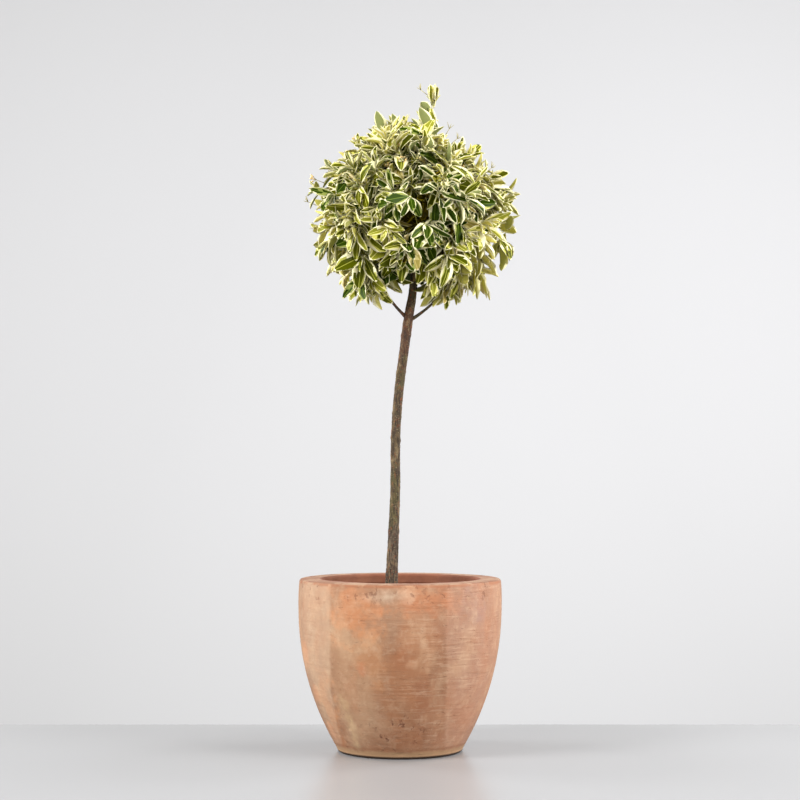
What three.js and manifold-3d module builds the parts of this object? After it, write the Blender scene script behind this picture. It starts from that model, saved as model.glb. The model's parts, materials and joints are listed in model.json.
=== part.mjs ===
// A variegated evergreen shrub grown as a standard: one clear stem with a ball of foliage on top,
// planted in a rounded terracotta pot. Millimetres, +Z up, +X to the right of the front,
// +Y towards the back. The origin is the centre of the pot's flat underside.

import * as THREE from "three";
import { mergeVertices } from "three/addons/utils/BufferGeometryUtils.js";
import Module from "manifold-3d";

const wasm = await Module();
wasm.setup();

// ---------------------------------------------------------------- driving dimensions

const GAP = 0.3; // clearance that neighbouring solids keep

const POT = {
  height: 341,
  footRadius: 121,
  footRounding: 4, // the worn corner between underside and wall
  bellyRadius: 202.5,
  bellyHeight: 300, // where the pot is widest
  bulge: 2.25, // power of the curve from foot to belly
  rimRadius: 200.5,
  rimWidth: 46,
  rimDepth: 26, // height of the inward-thickened rim
  lipRounding: 5,
  wall: 21,
  floor: 24,
  sides: 48,
  wallSteps: 9,
};

const SOIL = { belowRim: 42, crown: 5, moundRadius: 70 };

// The stem's centre line and radius, from the soil to its tip inside the crown.
const STEM_STATIONS = [
  { height: 299, x: -17, y: 0, radius: 18 },
  { height: 318, x: -16.8, y: 0, radius: 13.6 },
  { height: 350, x: -16.2, y: -1, radius: 12.2 },
  { height: 420, x: -13.4, y: -3, radius: 10.8 },
  { height: 520, x: -9.3, y: -4, radius: 9.8 },
  { height: 630, x: -8.6, y: -2, radius: 9.3 },
  { height: 720, x: -1.6, y: 1, radius: 9.4 },
  { height: 790, x: 7.4, y: 2, radius: 9.5 },
  { height: 866, x: 17.6, y: 0, radius: 9.8 },
  { height: 905, x: 24.4, y: -1, radius: 8.3 },
  { height: 950, x: 28.4, y: -2, radius: 7.4 },
  { height: 1040, x: 25, y: 0, radius: 6 },
  { height: 1130, x: 22, y: 2, radius: 4 },
];
const STEM = { sides: 10, rings: 34 };

// The two lowest boughs, which leave the stem just under the foliage.
const BOUGH = { sides: 8, rings: 9, collarRadius: 4.6, radius: 3.1, tipRadius: 2.5, collarShare: 0.12 };
const BOUGHS = [
  { name: "bough_left", path: [[18, 0, 860], [4, -5, 870], [-20, -14, 897], [-44, -22, 926], [-66, -30, 962]] },
  { name: "bough_right", path: [[18, 0, 858], [36, -4, 868], [63, -10, 884], [90, -18, 905], [112, -26, 940]] },
];

const CROWN = { x: 20, y: 0, z: 1076 }; // centre of the foliage ball
const LOBE = {
  detail: 4, // subdivision of each mass
  tufts: 14, // most shoots that stand proud of each mass
  tuftHeight: 25,
  tuftSpread: 0.3, // half-angle of a tuft, radians, seen from the centre of its mass
  tuftField: 1.35, // how far tufts stray from the mass's outward direction, radians
  inset: 0.7, // share of a tuft's height by which the ball of a mass stays inside its reach
  roughness: 0.035, // share of the radius by which the rest of the surface is uneven
};

// Masses of foliage: bearing round the stem (0 right, 90 back, -90 front) and elevation from the
// crown's centre in degrees, reach of the mass's furthest shoots, and the radius of the mass.
const MASSES = [
  { name: "foliage_right", bearing: -6, elevation: -1, reach: 222, radius: 106 },
  { name: "foliage_front_right", bearing: -58, elevation: 2, reach: 220, radius: 104 },
  { name: "foliage_front_left", bearing: -120, elevation: 4, reach: 218, radius: 104 },
  { name: "foliage_left", bearing: 178, elevation: 1, reach: 216, radius: 104 },
  { name: "foliage_back_left", bearing: 118, elevation: 0, reach: 218, radius: 104 },
  { name: "foliage_back_right", bearing: 54, elevation: 3, reach: 220, radius: 104 },
  { name: "foliage_low_right", bearing: -6, elevation: -47, reach: 212, radius: 92 },
  { name: "foliage_low_front", bearing: -92, elevation: -44, reach: 202, radius: 92 },
  { name: "foliage_low_left", bearing: 184, elevation: -45, reach: 212, radius: 92 },
  { name: "foliage_low_back", bearing: 88, elevation: -44, reach: 202, radius: 92 },
  { name: "foliage_high_right", bearing: -10, elevation: 43, reach: 198, radius: 90 },
  { name: "foliage_high_front", bearing: -95, elevation: 47, reach: 198, radius: 90 },
  { name: "foliage_high_left", bearing: 172, elevation: 46, reach: 196, radius: 90 },
  { name: "foliage_high_back", bearing: 84, elevation: 47, reach: 198, radius: 90 },
  { name: "foliage_top", bearing: 180, elevation: 87, reach: 202, radius: 90 },
];

// The upright leading shoot that stands above the ball.
const LEADER = { x: 58, y: 4, foot: 1224, tip: 1326, radius: 25 };

// ---------------------------------------------------------------- materials

const terracotta = new THREE.MeshStandardMaterial({ color: 0xd9a27e, roughness: 0.9, metalness: 0 });
const compost = new THREE.MeshStandardMaterial({ color: 0x3b2a1f, roughness: 1, metalness: 0 });
const bark = new THREE.MeshStandardMaterial({ color: 0x77664f, roughness: 0.9, metalness: 0 });
const leafage = new THREE.MeshStandardMaterial({ color: 0x919059, roughness: 0.6, metalness: 0 });

// ---------------------------------------------------------------- helpers

// Repeatable random numbers from 0 to 1.
function randomFrom(seed) {
  let state = seed >>> 0;
  return () => {
    state = (state + 0x6d2b79f5) >>> 0;
    let t = Math.imul(state ^ (state >>> 15), 1 | state);
    t = (t + Math.imul(t ^ (t >>> 7), 61 | t)) ^ t;
    return ((t ^ (t >>> 14)) >>> 0) / 4294967296;
  };
}

// Geometry with only positions, its shared vertices merged.
function closed(geometry) {
  const plain = geometry.index ? geometry.toNonIndexed() : geometry.clone();
  plain.deleteAttribute("normal");
  plain.deleteAttribute("uv");
  return mergeVertices(plain, 1e-3);
}

function toSolid(geometry) {
  const merged = closed(geometry);
  return new wasm.Manifold(
    new wasm.Mesh({
      numProp: 3,
      vertProperties: new Float32Array(merged.attributes.position.array),
      triVerts: new Uint32Array(merged.index.array),
    }),
  );
}

function toGeometry(solid) {
  const mesh = solid.getMesh();
  const positions = new Float32Array(mesh.numVert * 3);
  for (let i = 0; i < mesh.numVert; i++) {
    positions.set(mesh.vertProperties.subarray(i * mesh.numProp, i * mesh.numProp + 3), i * 3);
  }
  return new THREE.BufferGeometry()
    .setAttribute("position", new THREE.BufferAttribute(positions, 3))
    .setIndex(new THREE.BufferAttribute(mesh.triVerts, 1));
}

function largestPiece(solid) {
  return solid.decompose().reduce((a, b) => (a.volume() > b.volume() ? a : b));
}

function named(name, geometry, material) {
  geometry.computeVertexNormals();
  const mesh = new THREE.Mesh(geometry, material);
  mesh.name = name;
  return mesh;
}

// ---------------------------------------------------------------- pot and compost

// Outer radius of the pot at a height above its foot.
function potRadius(height) {
  if (height < POT.bellyHeight) {
    const below = 1 - height / POT.bellyHeight;
    return POT.bellyRadius - (POT.bellyRadius - POT.footRadius) * below ** POT.bulge;
  }
  const above = (height - POT.bellyHeight) / (POT.height - POT.bellyHeight);
  return POT.bellyRadius - (POT.bellyRadius - POT.rimRadius) * above ** 2;
}

const rimInnerRadius = POT.rimRadius - POT.rimWidth;
const potInnerRadius = (height) => potRadius(height) - POT.wall;

// A quarter turn from one direction to another round a centre, in radius and height.
function corner(radius, height, size, from, steps = 2) {
  return Array.from({ length: steps + 1 }, (_, i) => {
    const angle = from + (i / steps) * (Math.PI / 2);
    return new THREE.Vector2(radius + size * Math.cos(angle), height + size * Math.sin(angle));
  });
}

// Points up the outside of the wall, then down the inside, with the axis at both ends.
function potProfile() {
  const heights = Array.from(
    { length: POT.wallSteps + 1 },
    (_, i) => POT.footRounding + (i / POT.wallSteps) * (POT.height - 2 * POT.footRounding - POT.lipRounding),
  );
  const underRim = POT.height - POT.rimDepth;
  const insideHeights = heights.filter((h) => h > POT.floor + 20 && h < underRim - 20).reverse();
  const lip = POT.lipRounding;
  return [
    new THREE.Vector2(0, 0),
    new THREE.Vector2(POT.footRadius - POT.footRounding, 0),
    ...heights.map((h) => new THREE.Vector2(potRadius(h), h)),
    ...corner(POT.rimRadius - lip, POT.height - lip, lip, 0),
    ...corner(rimInnerRadius + lip, POT.height - lip, lip, Math.PI / 2),
    new THREE.Vector2(rimInnerRadius, underRim + 8),
    new THREE.Vector2(potInnerRadius(underRim), underRim - 18),
    ...insideHeights.map((h) => new THREE.Vector2(potInnerRadius(h), h)),
    new THREE.Vector2(potInnerRadius(POT.floor + 16), POT.floor + 16),
    new THREE.Vector2(potInnerRadius(POT.floor) - 16, POT.floor),
    new THREE.Vector2(0, POT.floor),
  ];
}

// A solid of revolution about Z from a profile of radius and height.
function turned(profile, sides) {
  return new THREE.LatheGeometry(profile, sides).rotateX(Math.PI / 2);
}

const soilLevel = POT.height - SOIL.belowRim;

// The compost fills the pot's hollow to a little under the rim, level where the stem stands.
function soilProfile() {
  const hollow = potProfile().filter((p) => p.y < soilLevel - 12 && p.y >= POT.floor);
  const inside = hollow
    .slice(hollow.findIndex((p, i) => i > 0 && p.y < hollow[i - 1].y))
    .reverse()
    .map((p) => new THREE.Vector2(Math.max(p.x - GAP * 1.3, 0), p.y + (p.y === POT.floor ? GAP : 0)));
  const top = soilLevel - SOIL.crown;
  return [
    ...inside,
    new THREE.Vector2(potInnerRadius(top) - GAP * 2, top),
    new THREE.Vector2(SOIL.moundRadius, soilLevel),
    new THREE.Vector2(0, soilLevel),
  ];
}

// ---------------------------------------------------------------- stem and boughs

// Bends a unit cylinder along a path: place(share) gives centre, radius and the section's two axes.
function limb(sides, rings, place) {
  const geometry = new THREE.CylinderGeometry(1, 1, 1, sides, rings);
  const position = geometry.attributes.position;
  const point = new THREE.Vector3();
  for (let i = 0; i < position.count; i++) {
    point.fromBufferAttribute(position, i);
    const { centre, radius, across, upright } = place(THREE.MathUtils.clamp(point.y + 0.5, 0, 1));
    const moved = centre
      .clone()
      .addScaledVector(across, point.x * radius)
      .addScaledVector(upright, -point.z * radius);
    position.setXYZ(i, moved.x, moved.y, moved.z);
  }
  return geometry;
}

const stemLine = new THREE.CatmullRomCurve3(
  STEM_STATIONS.map((s) => new THREE.Vector3(s.x, s.y, s.height)),
);

// The stem's radius between stations, by height.
function stemRadius(height) {
  const next = Math.max(1, STEM_STATIONS.findIndex((s) => s.height >= height));
  const [a, b] = [STEM_STATIONS[next - 1], STEM_STATIONS[next]];
  const share = THREE.MathUtils.smoothstep(height, a.height, b.height);
  return THREE.MathUtils.lerp(a.radius, b.radius, share);
}

// Sections stay level, so that the foot is a flat cut on the compost.
function stemSolid(extra = 0) {
  const across = new THREE.Vector3(1, 0, 0);
  const upright = new THREE.Vector3(0, 1, 0);
  const foot = new THREE.Vector3(0, 0, extra ? -extra : GAP);
  return toSolid(
    limb(STEM.sides, STEM.rings, (share) => {
      const centre = stemLine.getPoint(share);
      const radius = stemRadius(centre.z) + extra;
      if (share === 0) centre.add(foot);
      if (share === 1) centre.z += extra;
      return { centre, radius, across, upright };
    }),
  );
}

function boughSolid({ path }, extra = 0) {
  const line = new THREE.CatmullRomCurve3(path.map((p) => new THREE.Vector3(...p)));
  const side = new THREE.Vector3(0, 1, 0);
  return toSolid(
    limb(BOUGH.sides, BOUGH.rings, (share) => {
      const along = line.getTangent(share);
      const across = new THREE.Vector3().crossVectors(side, along).normalize();
      const upright = new THREE.Vector3().crossVectors(along, across).normalize();
      const thin = THREE.MathUtils.lerp(BOUGH.radius, BOUGH.tipRadius, share);
      const collar = (BOUGH.collarRadius - BOUGH.radius) * Math.exp(-share / BOUGH.collarShare);
      return { centre: line.getPoint(share), radius: thin + collar + extra, across, upright };
    }),
  );
}

// ---------------------------------------------------------------- foliage

function direction(bearing, elevation) {
  const [b, e] = [THREE.MathUtils.degToRad(bearing), THREE.MathUtils.degToRad(elevation)];
  return new THREE.Vector3(Math.cos(e) * Math.cos(b), Math.cos(e) * Math.sin(b), Math.sin(e));
}

const crownCentre = new THREE.Vector3(CROWN.x, CROWN.y, CROWN.z);

// Each mass with its centre worked out from its reach and radius.
const masses = MASSES.map((mass, index) => {
  const outwards = direction(mass.bearing, mass.elevation);
  const ballReach = mass.reach - LOBE.tuftHeight * LOBE.inset;
  const centre = crownCentre.clone().addScaledVector(outwards, ballReach - mass.radius);
  return { ...mass, index, outwards, centre };
});

// Directions in which a mass's shoots stand out, spread over its outer side.
function tuftDirections({ index, outwards }) {
  const random = randomFrom(101 + index);
  const found = [outwards.clone()];
  while (found.length < LOBE.tufts) {
    const d = new THREE.Vector3(random() - 0.5, random() - 0.5, random() - 0.5).normalize();
    const apart = found.every((f) => f.angleTo(d) > LOBE.tuftSpread * 1.4);
    if (d.angleTo(outwards) < LOBE.tuftField && apart) found.push(d);
    else if (random() < 0.004) break;
  }
  return found.map((d) => ({ d, height: LOBE.tuftHeight * (0.6 + 0.7 * random()) }));
}

// An uneven ball: a base radius, a little roughness, and the tufts.
function lobeSolid(mass) {
  const random = randomFrom(31 + mass.index * 7);
  const tufts = tuftDirections(mass);
  const geometry = closed(new THREE.IcosahedronGeometry(1, LOBE.detail));
  const position = geometry.attributes.position;
  const d = new THREE.Vector3();
  for (let i = 0; i < position.count; i++) {
    d.fromBufferAttribute(position, i).normalize();
    const rough = 1 + LOBE.roughness * (2 * random() - 1);
    const proud = Math.max(
      ...tufts.map((t) => t.height * Math.max(0, 1 - d.angleTo(t.d) / LOBE.tuftSpread)),
    );
    const p = mass.centre.clone().addScaledVector(d, mass.radius * rough + proud);
    position.setXYZ(i, p.x, p.y, p.z);
  }
  return toSolid(geometry);
}

// Keeps the part of a mass on its own side of the plane that it shares with a neighbour.
function trimmed(solid, mass, neighbour) {
  const apart = new THREE.Vector3().subVectors(mass.centre, neighbour.centre);
  const distance = apart.length();
  const toPlane = (distance ** 2 + mass.radius ** 2 - neighbour.radius ** 2) / (2 * distance);
  const normal = apart.divideScalar(distance);
  const offset = mass.centre.dot(normal) - toPlane + GAP / 2;
  return solid.trimByPlane([normal.x, normal.y, normal.z], offset);
}

function leaderSolid() {
  const geometry = closed(new THREE.IcosahedronGeometry(1, 2));
  const position = geometry.attributes.position;
  const random = randomFrom(7);
  const half = (LEADER.tip - LEADER.foot) / 2;
  for (let i = 0; i < position.count; i++) {
    const z = position.getZ(i);
    const width = LEADER.radius * (0.8 + 0.2 * z) * (0.86 + 0.28 * random());
    position.setXYZ(
      i,
      LEADER.x + position.getX(i) * width,
      LEADER.y + position.getY(i) * width,
      LEADER.foot + half * (1 + z),
    );
  }
  return toSolid(geometry);
}

// ---------------------------------------------------------------- the plant in its pot

const tree = new THREE.Group();
tree.add(named("pot", turned(potProfile(), POT.sides), terracotta));
tree.add(named("compost", turned(soilProfile(), POT.sides), compost));
tree.add(named("stem", toGeometry(stemSolid()), bark));

const aroundStem = stemSolid(GAP);
const lobes = masses.map((mass) => {
  let solid = lobeSolid(mass);
  for (const neighbour of masses) {
    if (neighbour !== mass) solid = trimmed(solid, mass, neighbour);
  }
  return solid.subtract(aroundStem);
});

masses.forEach((mass, i) => {
  tree.add(named(mass.name, toGeometry(largestPiece(lobes[i])), leafage));
});

// The leading shoot rests on the ball, and each bough ends where it meets a mass.
const clearance = [GAP, -GAP].flatMap((g) => [[g, 0, 0], [0, g, 0], [0, 0, g]]);
const widened = (solid) => clearance.reduce((sum, step) => sum.add(solid.translate(step)), solid);
const leader = lobes.reduce((rest, lobe) => rest.subtract(widened(lobe)), leaderSolid());
tree.add(named("foliage_leader", toGeometry(largestPiece(leader)), leafage));

for (const bough of BOUGHS) {
  const free = lobes.reduce(
    (rest, lobe) => rest.subtract(widened(lobe)),
    boughSolid(bough).subtract(aroundStem),
  );
  tree.add(named(bough.name, toGeometry(largestPiece(free)), bark));
}

export default tree;
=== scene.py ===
"""Looks of a variegated evergreen grown as a standard in a rounded terracotta pot.

Metres, +Z up, +X to the right of the front, +Y towards the back. The pot stands on z = 0.
"""

import json
import math
import random
from collections import namedtuple

import bpy
import numpy as np
from mathutils import Matrix, Quaternion, Vector, noise
from mathutils.bvhtree import BVHTree

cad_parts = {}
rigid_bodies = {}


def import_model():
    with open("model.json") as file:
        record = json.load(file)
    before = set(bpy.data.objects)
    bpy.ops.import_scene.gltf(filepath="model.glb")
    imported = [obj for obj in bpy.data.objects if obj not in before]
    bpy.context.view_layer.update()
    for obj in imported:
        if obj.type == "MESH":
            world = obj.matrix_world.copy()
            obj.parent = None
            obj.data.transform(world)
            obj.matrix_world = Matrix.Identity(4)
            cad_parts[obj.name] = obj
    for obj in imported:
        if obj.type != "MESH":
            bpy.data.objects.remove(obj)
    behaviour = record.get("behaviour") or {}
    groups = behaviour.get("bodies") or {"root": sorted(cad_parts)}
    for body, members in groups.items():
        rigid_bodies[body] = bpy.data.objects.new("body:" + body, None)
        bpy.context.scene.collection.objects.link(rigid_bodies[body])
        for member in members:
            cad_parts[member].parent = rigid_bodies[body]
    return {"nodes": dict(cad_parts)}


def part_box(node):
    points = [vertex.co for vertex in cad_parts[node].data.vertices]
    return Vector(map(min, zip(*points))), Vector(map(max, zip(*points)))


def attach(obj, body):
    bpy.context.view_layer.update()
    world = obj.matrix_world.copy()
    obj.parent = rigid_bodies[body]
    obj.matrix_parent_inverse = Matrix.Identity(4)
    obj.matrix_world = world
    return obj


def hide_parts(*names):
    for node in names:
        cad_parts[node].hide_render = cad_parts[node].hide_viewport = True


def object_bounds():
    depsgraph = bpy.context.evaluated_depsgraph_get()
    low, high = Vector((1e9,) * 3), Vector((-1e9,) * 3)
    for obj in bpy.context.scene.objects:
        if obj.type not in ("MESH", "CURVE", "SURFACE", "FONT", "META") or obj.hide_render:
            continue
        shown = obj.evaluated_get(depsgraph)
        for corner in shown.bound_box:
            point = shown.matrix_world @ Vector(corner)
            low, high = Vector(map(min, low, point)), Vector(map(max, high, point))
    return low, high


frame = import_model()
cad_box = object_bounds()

RIGHT = Vector((1, 0, 0))
BACK = Vector((0, 1, 0))
UP = Vector((0, 0, 1))
SEED = 37

# ---------------------------------------------------------------- small helpers


def tint(code):
    """Linear colour with alpha from a six-digit hex code of display colours."""
    values = [int(code[i : i + 2], 16) / 255 for i in (0, 2, 4)]
    return (*[v / 12.92 if v <= 0.04045 else ((v + 0.055) / 1.055) ** 2.4 for v in values], 1.0)


def mix(a, b, share):
    return a + (b - a) * share


def smoothstep(value, low, high):
    t = min(max((value - low) / (high - low), 0.0), 1.0)
    return t * t * (3 - 2 * t)


def level(way):
    """The level direction that a direction points in."""
    return Vector((way.x, way.y, 0.0)).normalized()


def jitter(rng, size):
    return Vector([rng.gauss(0, 1) for _ in range(3)]) * size


def square_to(way, rng):
    """A direction square to another, turned about it at random."""
    aside = way.orthogonal().normalized()
    aside.rotate(Quaternion(way, rng.uniform(0, math.tau)))
    return aside


def lumps(at, across, along, shift=0.0):
    """Noise, as fine as given across the upright axis and along it."""
    return noise.noise(Vector((at.x * across, at.y * across, at.z * along + shift)))


def uneven(table, at):
    """The sum of a table's noises: height, fineness across and along, and shift of each."""
    return sum(height * lumps(at, *fine) for height, *fine in table)


def spokes(sides, aside=RIGHT, across=BACK):
    """Directions evenly round a ring."""
    angles = [s / sides * math.tau for s in range(sides)]
    return [aside * math.cos(a) + across * math.sin(a) for a in angles]


def heading(line, i):
    """The direction of a line of points at one of them."""
    return (line[min(i + 1, len(line) - 1)] - line[max(i - 1, 0)]).normalized()


def ring_faces(rings, sides, first=0):
    """Quads between closed rings of points that follow one another."""
    return [
        (ring + s, ring + (s + 1) % sides, ring + sides + (s + 1) % sides, ring + sides + s)
        for ring in range(first, first + (rings - 1) * sides, sides)
        for s in range(sides)
    ]


def tube_faces(rings, sides, first=0):
    """The faces between rings, and one face over each end."""
    last = first + (rings - 1) * sides
    ends = [tuple(range(first + sides - 1, first - 1, -1)), tuple(range(last, last + sides))]
    return ring_faces(rings, sides, first) + ends


def new_mesh(name, points, faces=(), edges=(), material=None, domain="POINT", **values):
    """A smooth mesh with named values on its points or faces: whole numbers, numbers or vectors."""
    mesh = bpy.data.meshes.new(name)
    mesh.from_pydata([tuple(p) for p in points], edges, faces, shade_flat=False)
    if material:
        mesh.materials.append(material)
    for key, column in values.items():
        is_number = isinstance(column[0], (int, float))
        kind = "INT" if isinstance(column[0], int) else "FLOAT" if is_number else "FLOAT_VECTOR"
        flat = column if is_number else [k for row in column for k in row]
        mesh.attributes.new(key, kind, domain).data.foreach_set("value" if is_number else "vector", flat)
    return mesh


def linked(name, data):
    obj = bpy.data.objects.new(name, data)
    bpy.context.scene.collection.objects.link(obj)
    return obj


# ---------------------------------------------------------------- node trees


def socket_in_use(sockets, key):
    """The socket at a place, or the one of that name which the node's settings leave in use."""
    return sockets[key] if isinstance(key, int) else next(s for s in sockets if s.name == key and s.enabled)


class Wire:
    """What a node puts out, to reckon with as with a number."""

    def __init__(self, wiring, socket):
        self.wiring = wiring
        self.socket = socket

    def __add__(self, other):
        return self.wiring.maths("ADD", self, other)

    def __sub__(self, other):
        return self.wiring.maths("SUBTRACT", self, other)

    def __mul__(self, other):
        return self.wiring.maths("MULTIPLY", self, other)

    def __truediv__(self, other):
        return self.wiring.maths("DIVIDE", self, other)


class Wiring:
    """A node tree that is being written."""

    def __init__(self, tree):
        self.tree = tree

    def node(self, kind, inputs, **settings):
        """A node with its settings, its inputs set to values or linked to wires."""
        node = self.tree.nodes.new(kind)
        for key, value in settings.items():
            setattr(node, key, value)
        for key, value in inputs.items():
            socket = socket_in_use(node.inputs, key)
            if isinstance(value, Wire):
                self.tree.links.new(value.socket, socket)
            else:
                socket.default_value = value
        return node

    def add(self, kind, output, inputs, **settings):
        """A new node's output of that name or place."""
        return Wire(self, socket_in_use(self.node(kind, inputs, **settings).outputs, output))

    def maths(self, operation, *values):
        return self.add("ShaderNodeMath", 0, dict(enumerate(values)), operation=operation)

    def named(self, name, kind):
        """The value of that name on the points or faces."""
        return self.add("GeometryNodeInputNamedAttribute", "Attribute", {"Name": name}, data_type=kind)


class Surface(Wiring):
    """A material whose patterns sit still on the piece, in Object coordinates."""

    def __init__(self, name, roughness):
        self.material = bpy.data.materials.new(name)
        self.material.use_nodes = True
        super().__init__(self.material.node_tree)
        self.shader = self.tree.nodes["Principled BSDF"].inputs
        self.shader["Roughness"].default_value = roughness
        self.place = self.add("ShaderNodeTexCoord", "Object", {})
        self.colour = self.roughness = self.bump = None

    def axes(self):
        node = self.node("ShaderNodeSeparateXYZ", {"Vector": self.place})
        return [Wire(self, socket) for socket in node.outputs]

    def grain(self, scale, detail, roughness, stretch=None, shift=(0, 0, 0), distortion=0.0):
        """Soft noise from 0 to 1, drawn out along the axes."""
        inputs = {"Vector": self.place, "Scale": scale, "Detail": detail}
        if stretch:
            mapping = {"Vector": self.place, "Location": shift, "Scale": stretch}
            inputs["Vector"] = self.add("ShaderNodeMapping", "Vector", mapping)
        inputs |= {"Roughness": roughness, "Distortion": distortion}
        return self.add("ShaderNodeTexNoise", "Fac", inputs)

    def ramp(self, value, low, high, start=0.0, end=1.0, form="LINEAR"):
        """From start where the value is low to end where it is high."""
        inputs = {"Value": value, "From Min": low, "From Max": high, "To Min": start, "To Max": end}
        return self.add("ShaderNodeMapRange", "Result", inputs, interpolation_type=form)

    def between(self, value, low, high):
        """0 below low, 1 above high, smooth between."""
        return self.ramp(value, low, high, form="SMOOTHSTEP")

    def blend(self, share, *colours):
        """The first colour laid over with the second by share. Colours are wires or hex codes."""
        first, second = (tint(c) if isinstance(c, str) else c for c in colours)
        inputs = {"Factor": share, "A": first, "B": second}
        return self.add("ShaderNodeMix", "Result", inputs, data_type="RGBA")

    def over(self, share, amount, shade):
        """Lays a shade over the colour."""
        self.colour = self.blend(share * amount, self.colour, shade)

    def relief(self, height, distance, strength):
        """A bump of that height in metres, on top of those before."""
        inputs = {"Height": height, "Distance": distance, "Strength": strength}
        if self.bump:
            inputs["Normal"] = self.bump
        self.bump = self.add("ShaderNodeBump", "Normal", inputs)

    def finish(self):
        for key, wire in (("Base Color", self.colour), ("Roughness", self.roughness), ("Normal", self.bump)):
            if wire:
                self.tree.links.new(wire.socket, self.shader[key])
        return self.material


def plain(name, code, roughness, specular=0.5):
    """A material of one colour."""
    s = Surface(name, roughness)
    s.shader["Base Color"].default_value = tint(code)
    s.shader["Specular IOR Level"].default_value = specular
    return s.finish()


def grained(name, roughness, grain, low, high, dark, light):
    """A surface in two shades, dealt out by a grain of that scale, detail and roughness; and the grain."""
    s = Surface(name, roughness)
    streaks = s.grain(*grain)
    s.colour = s.blend(s.between(streaks, low, high), dark, light)
    return s, streaks


def tree_with(name, inputs, zones):
    """An empty Geometry Nodes tree with its inputs: geometry, those given, and a material for each zone."""
    tree = bpy.data.node_groups.new(name, "GeometryNodeTree")
    kinds = {"Geometry": "Geometry", **inputs, **dict.fromkeys(zones, "Material")}
    for label, kind in kinds.items():
        tree.interface.new_socket(label, in_out="INPUT", socket_type="NodeSocket" + kind)
    tree.interface.new_socket("Geometry", in_out="OUTPUT", socket_type="NodeSocketGeometry")
    w = Wiring(tree)
    return w, {socket.name: Wire(w, socket) for socket in w.node("NodeGroupInput", {}).outputs}


def painted_tree(w, entry, geometry, zones):
    """The tree, with its instances made real and each zone number of the faces in its material."""
    geometry = w.add("GeometryNodeRealizeInstances", "Geometry", {"Geometry": geometry})
    zone = w.named("zone", "INT")
    for number, label in enumerate(zones):
        inputs = {"A": zone, "B": number}
        chosen = w.add("FunctionNodeCompare", "Result", inputs, data_type="INT", operation="EQUAL")
        inputs = {"Geometry": geometry, "Selection": chosen, "Material": entry[label]}
        geometry = w.add("GeometryNodeSetMaterial", "Geometry", inputs)
    w.node("NodeGroupOutput", {"Geometry": geometry})
    return w.tree


def scatter_tree(zones):
    """Puts one of several forms on each point, turned, sized and painted as the point says."""
    w, entry = tree_with("scatter", {"Forms": "Collection"}, zones)
    inputs = {"Collection": entry["Forms"], "Separate Children": True, "Reset Children": True}
    inputs = {
        "Points": entry["Geometry"],
        "Instance": w.add("GeometryNodeCollectionInfo", "Instances", inputs),
        "Pick Instance": True,
        "Instance Index": w.named("form", "INT"),
        "Rotation": w.named("turn", "FLOAT_VECTOR"),
        "Scale": w.named("size", "FLOAT_VECTOR"),
    }
    return painted_tree(w, entry, w.add("GeometryNodeInstanceOnPoints", "Instances", inputs), zones)


def limb_tree(zones):
    """Wraps a round skin about chains of edges, as thick as their points say."""
    w, entry = tree_with("limb_skin", {"Sides": "Int"}, zones)
    section = {"Resolution": entry["Sides"], "Radius": 1.0}
    inputs = {
        "Curve": w.add("GeometryNodeMeshToCurve", "Curve", {"Mesh": entry["Geometry"]}),
        "Profile Curve": w.add("GeometryNodeCurvePrimitiveCircle", "Curve", section),
        "Scale": w.named("thickness", "FLOAT"),
        "Fill Caps": True,
    }
    return painted_tree(w, entry, w.add("GeometryNodeCurveToMesh", "Mesh", inputs), zones)


def grown(name, mesh, tree, values):
    """The plain mesh that a tree makes of a mesh, as an object."""
    obj = linked(name, mesh)
    modifier = obj.modifiers.new("growth", "NODES")
    modifier.node_group = tree
    for item in tree.interface.items_tree:
        if item.in_out == "INPUT" and item.name in values:
            modifier[item.identifier] = values[item.name]
    depsgraph = bpy.context.evaluated_depsgraph_get()
    made = bpy.data.meshes.new_from_object(obj.evaluated_get(depsgraph), depsgraph=depsgraph)
    obj.modifiers.clear()
    obj.data = made
    made.name = name
    made.shade_smooth()
    drop_empty_slots(made)
    return obj


def drop_empty_slots(mesh):
    """Takes out material slots that hold nothing, and renumbers the faces' slots to match."""
    filled = [i for i, material in enumerate(mesh.materials) if material]
    slots = np.zeros(len(mesh.polygons), dtype=np.int32)
    mesh.polygons.foreach_get("material_index", slots)
    renumbered = np.zeros(len(mesh.materials), dtype=np.int32)
    renumbered[filled] = range(len(filled))
    for i in reversed(range(len(mesh.materials))):
        if i not in filled:
            mesh.materials.pop(index=i)
    mesh.polygons.foreach_set("material_index", renumbered[slots])


def form(name, points, faces, zones):
    """A mesh that is dealt out to points, with a zone number on each face."""
    return bpy.data.objects.new(name, new_mesh(name, points, faces, domain="FACE", zone=zones))


def scattered(name, rows, forms, materials):
    """A piece made of a form at each row's point, turned and sized as the row says."""
    collection = bpy.data.collections.new(name + "_forms")
    for obj in forms:
        collection.objects.link(obj)
    points, turns, sizes, numbers = zip(*rows)
    mesh = new_mesh(name + "_points", points, turn=turns, size=sizes, form=numbers)
    made = grown(name, mesh, scatter_tree(materials), {"Forms": collection, **materials})
    bpy.data.collections.remove(collection)
    return made


def discard(forms):
    for obj in forms:
        bpy.data.objects.remove(obj)


# ---------------------------------------------------------------- pot

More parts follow.
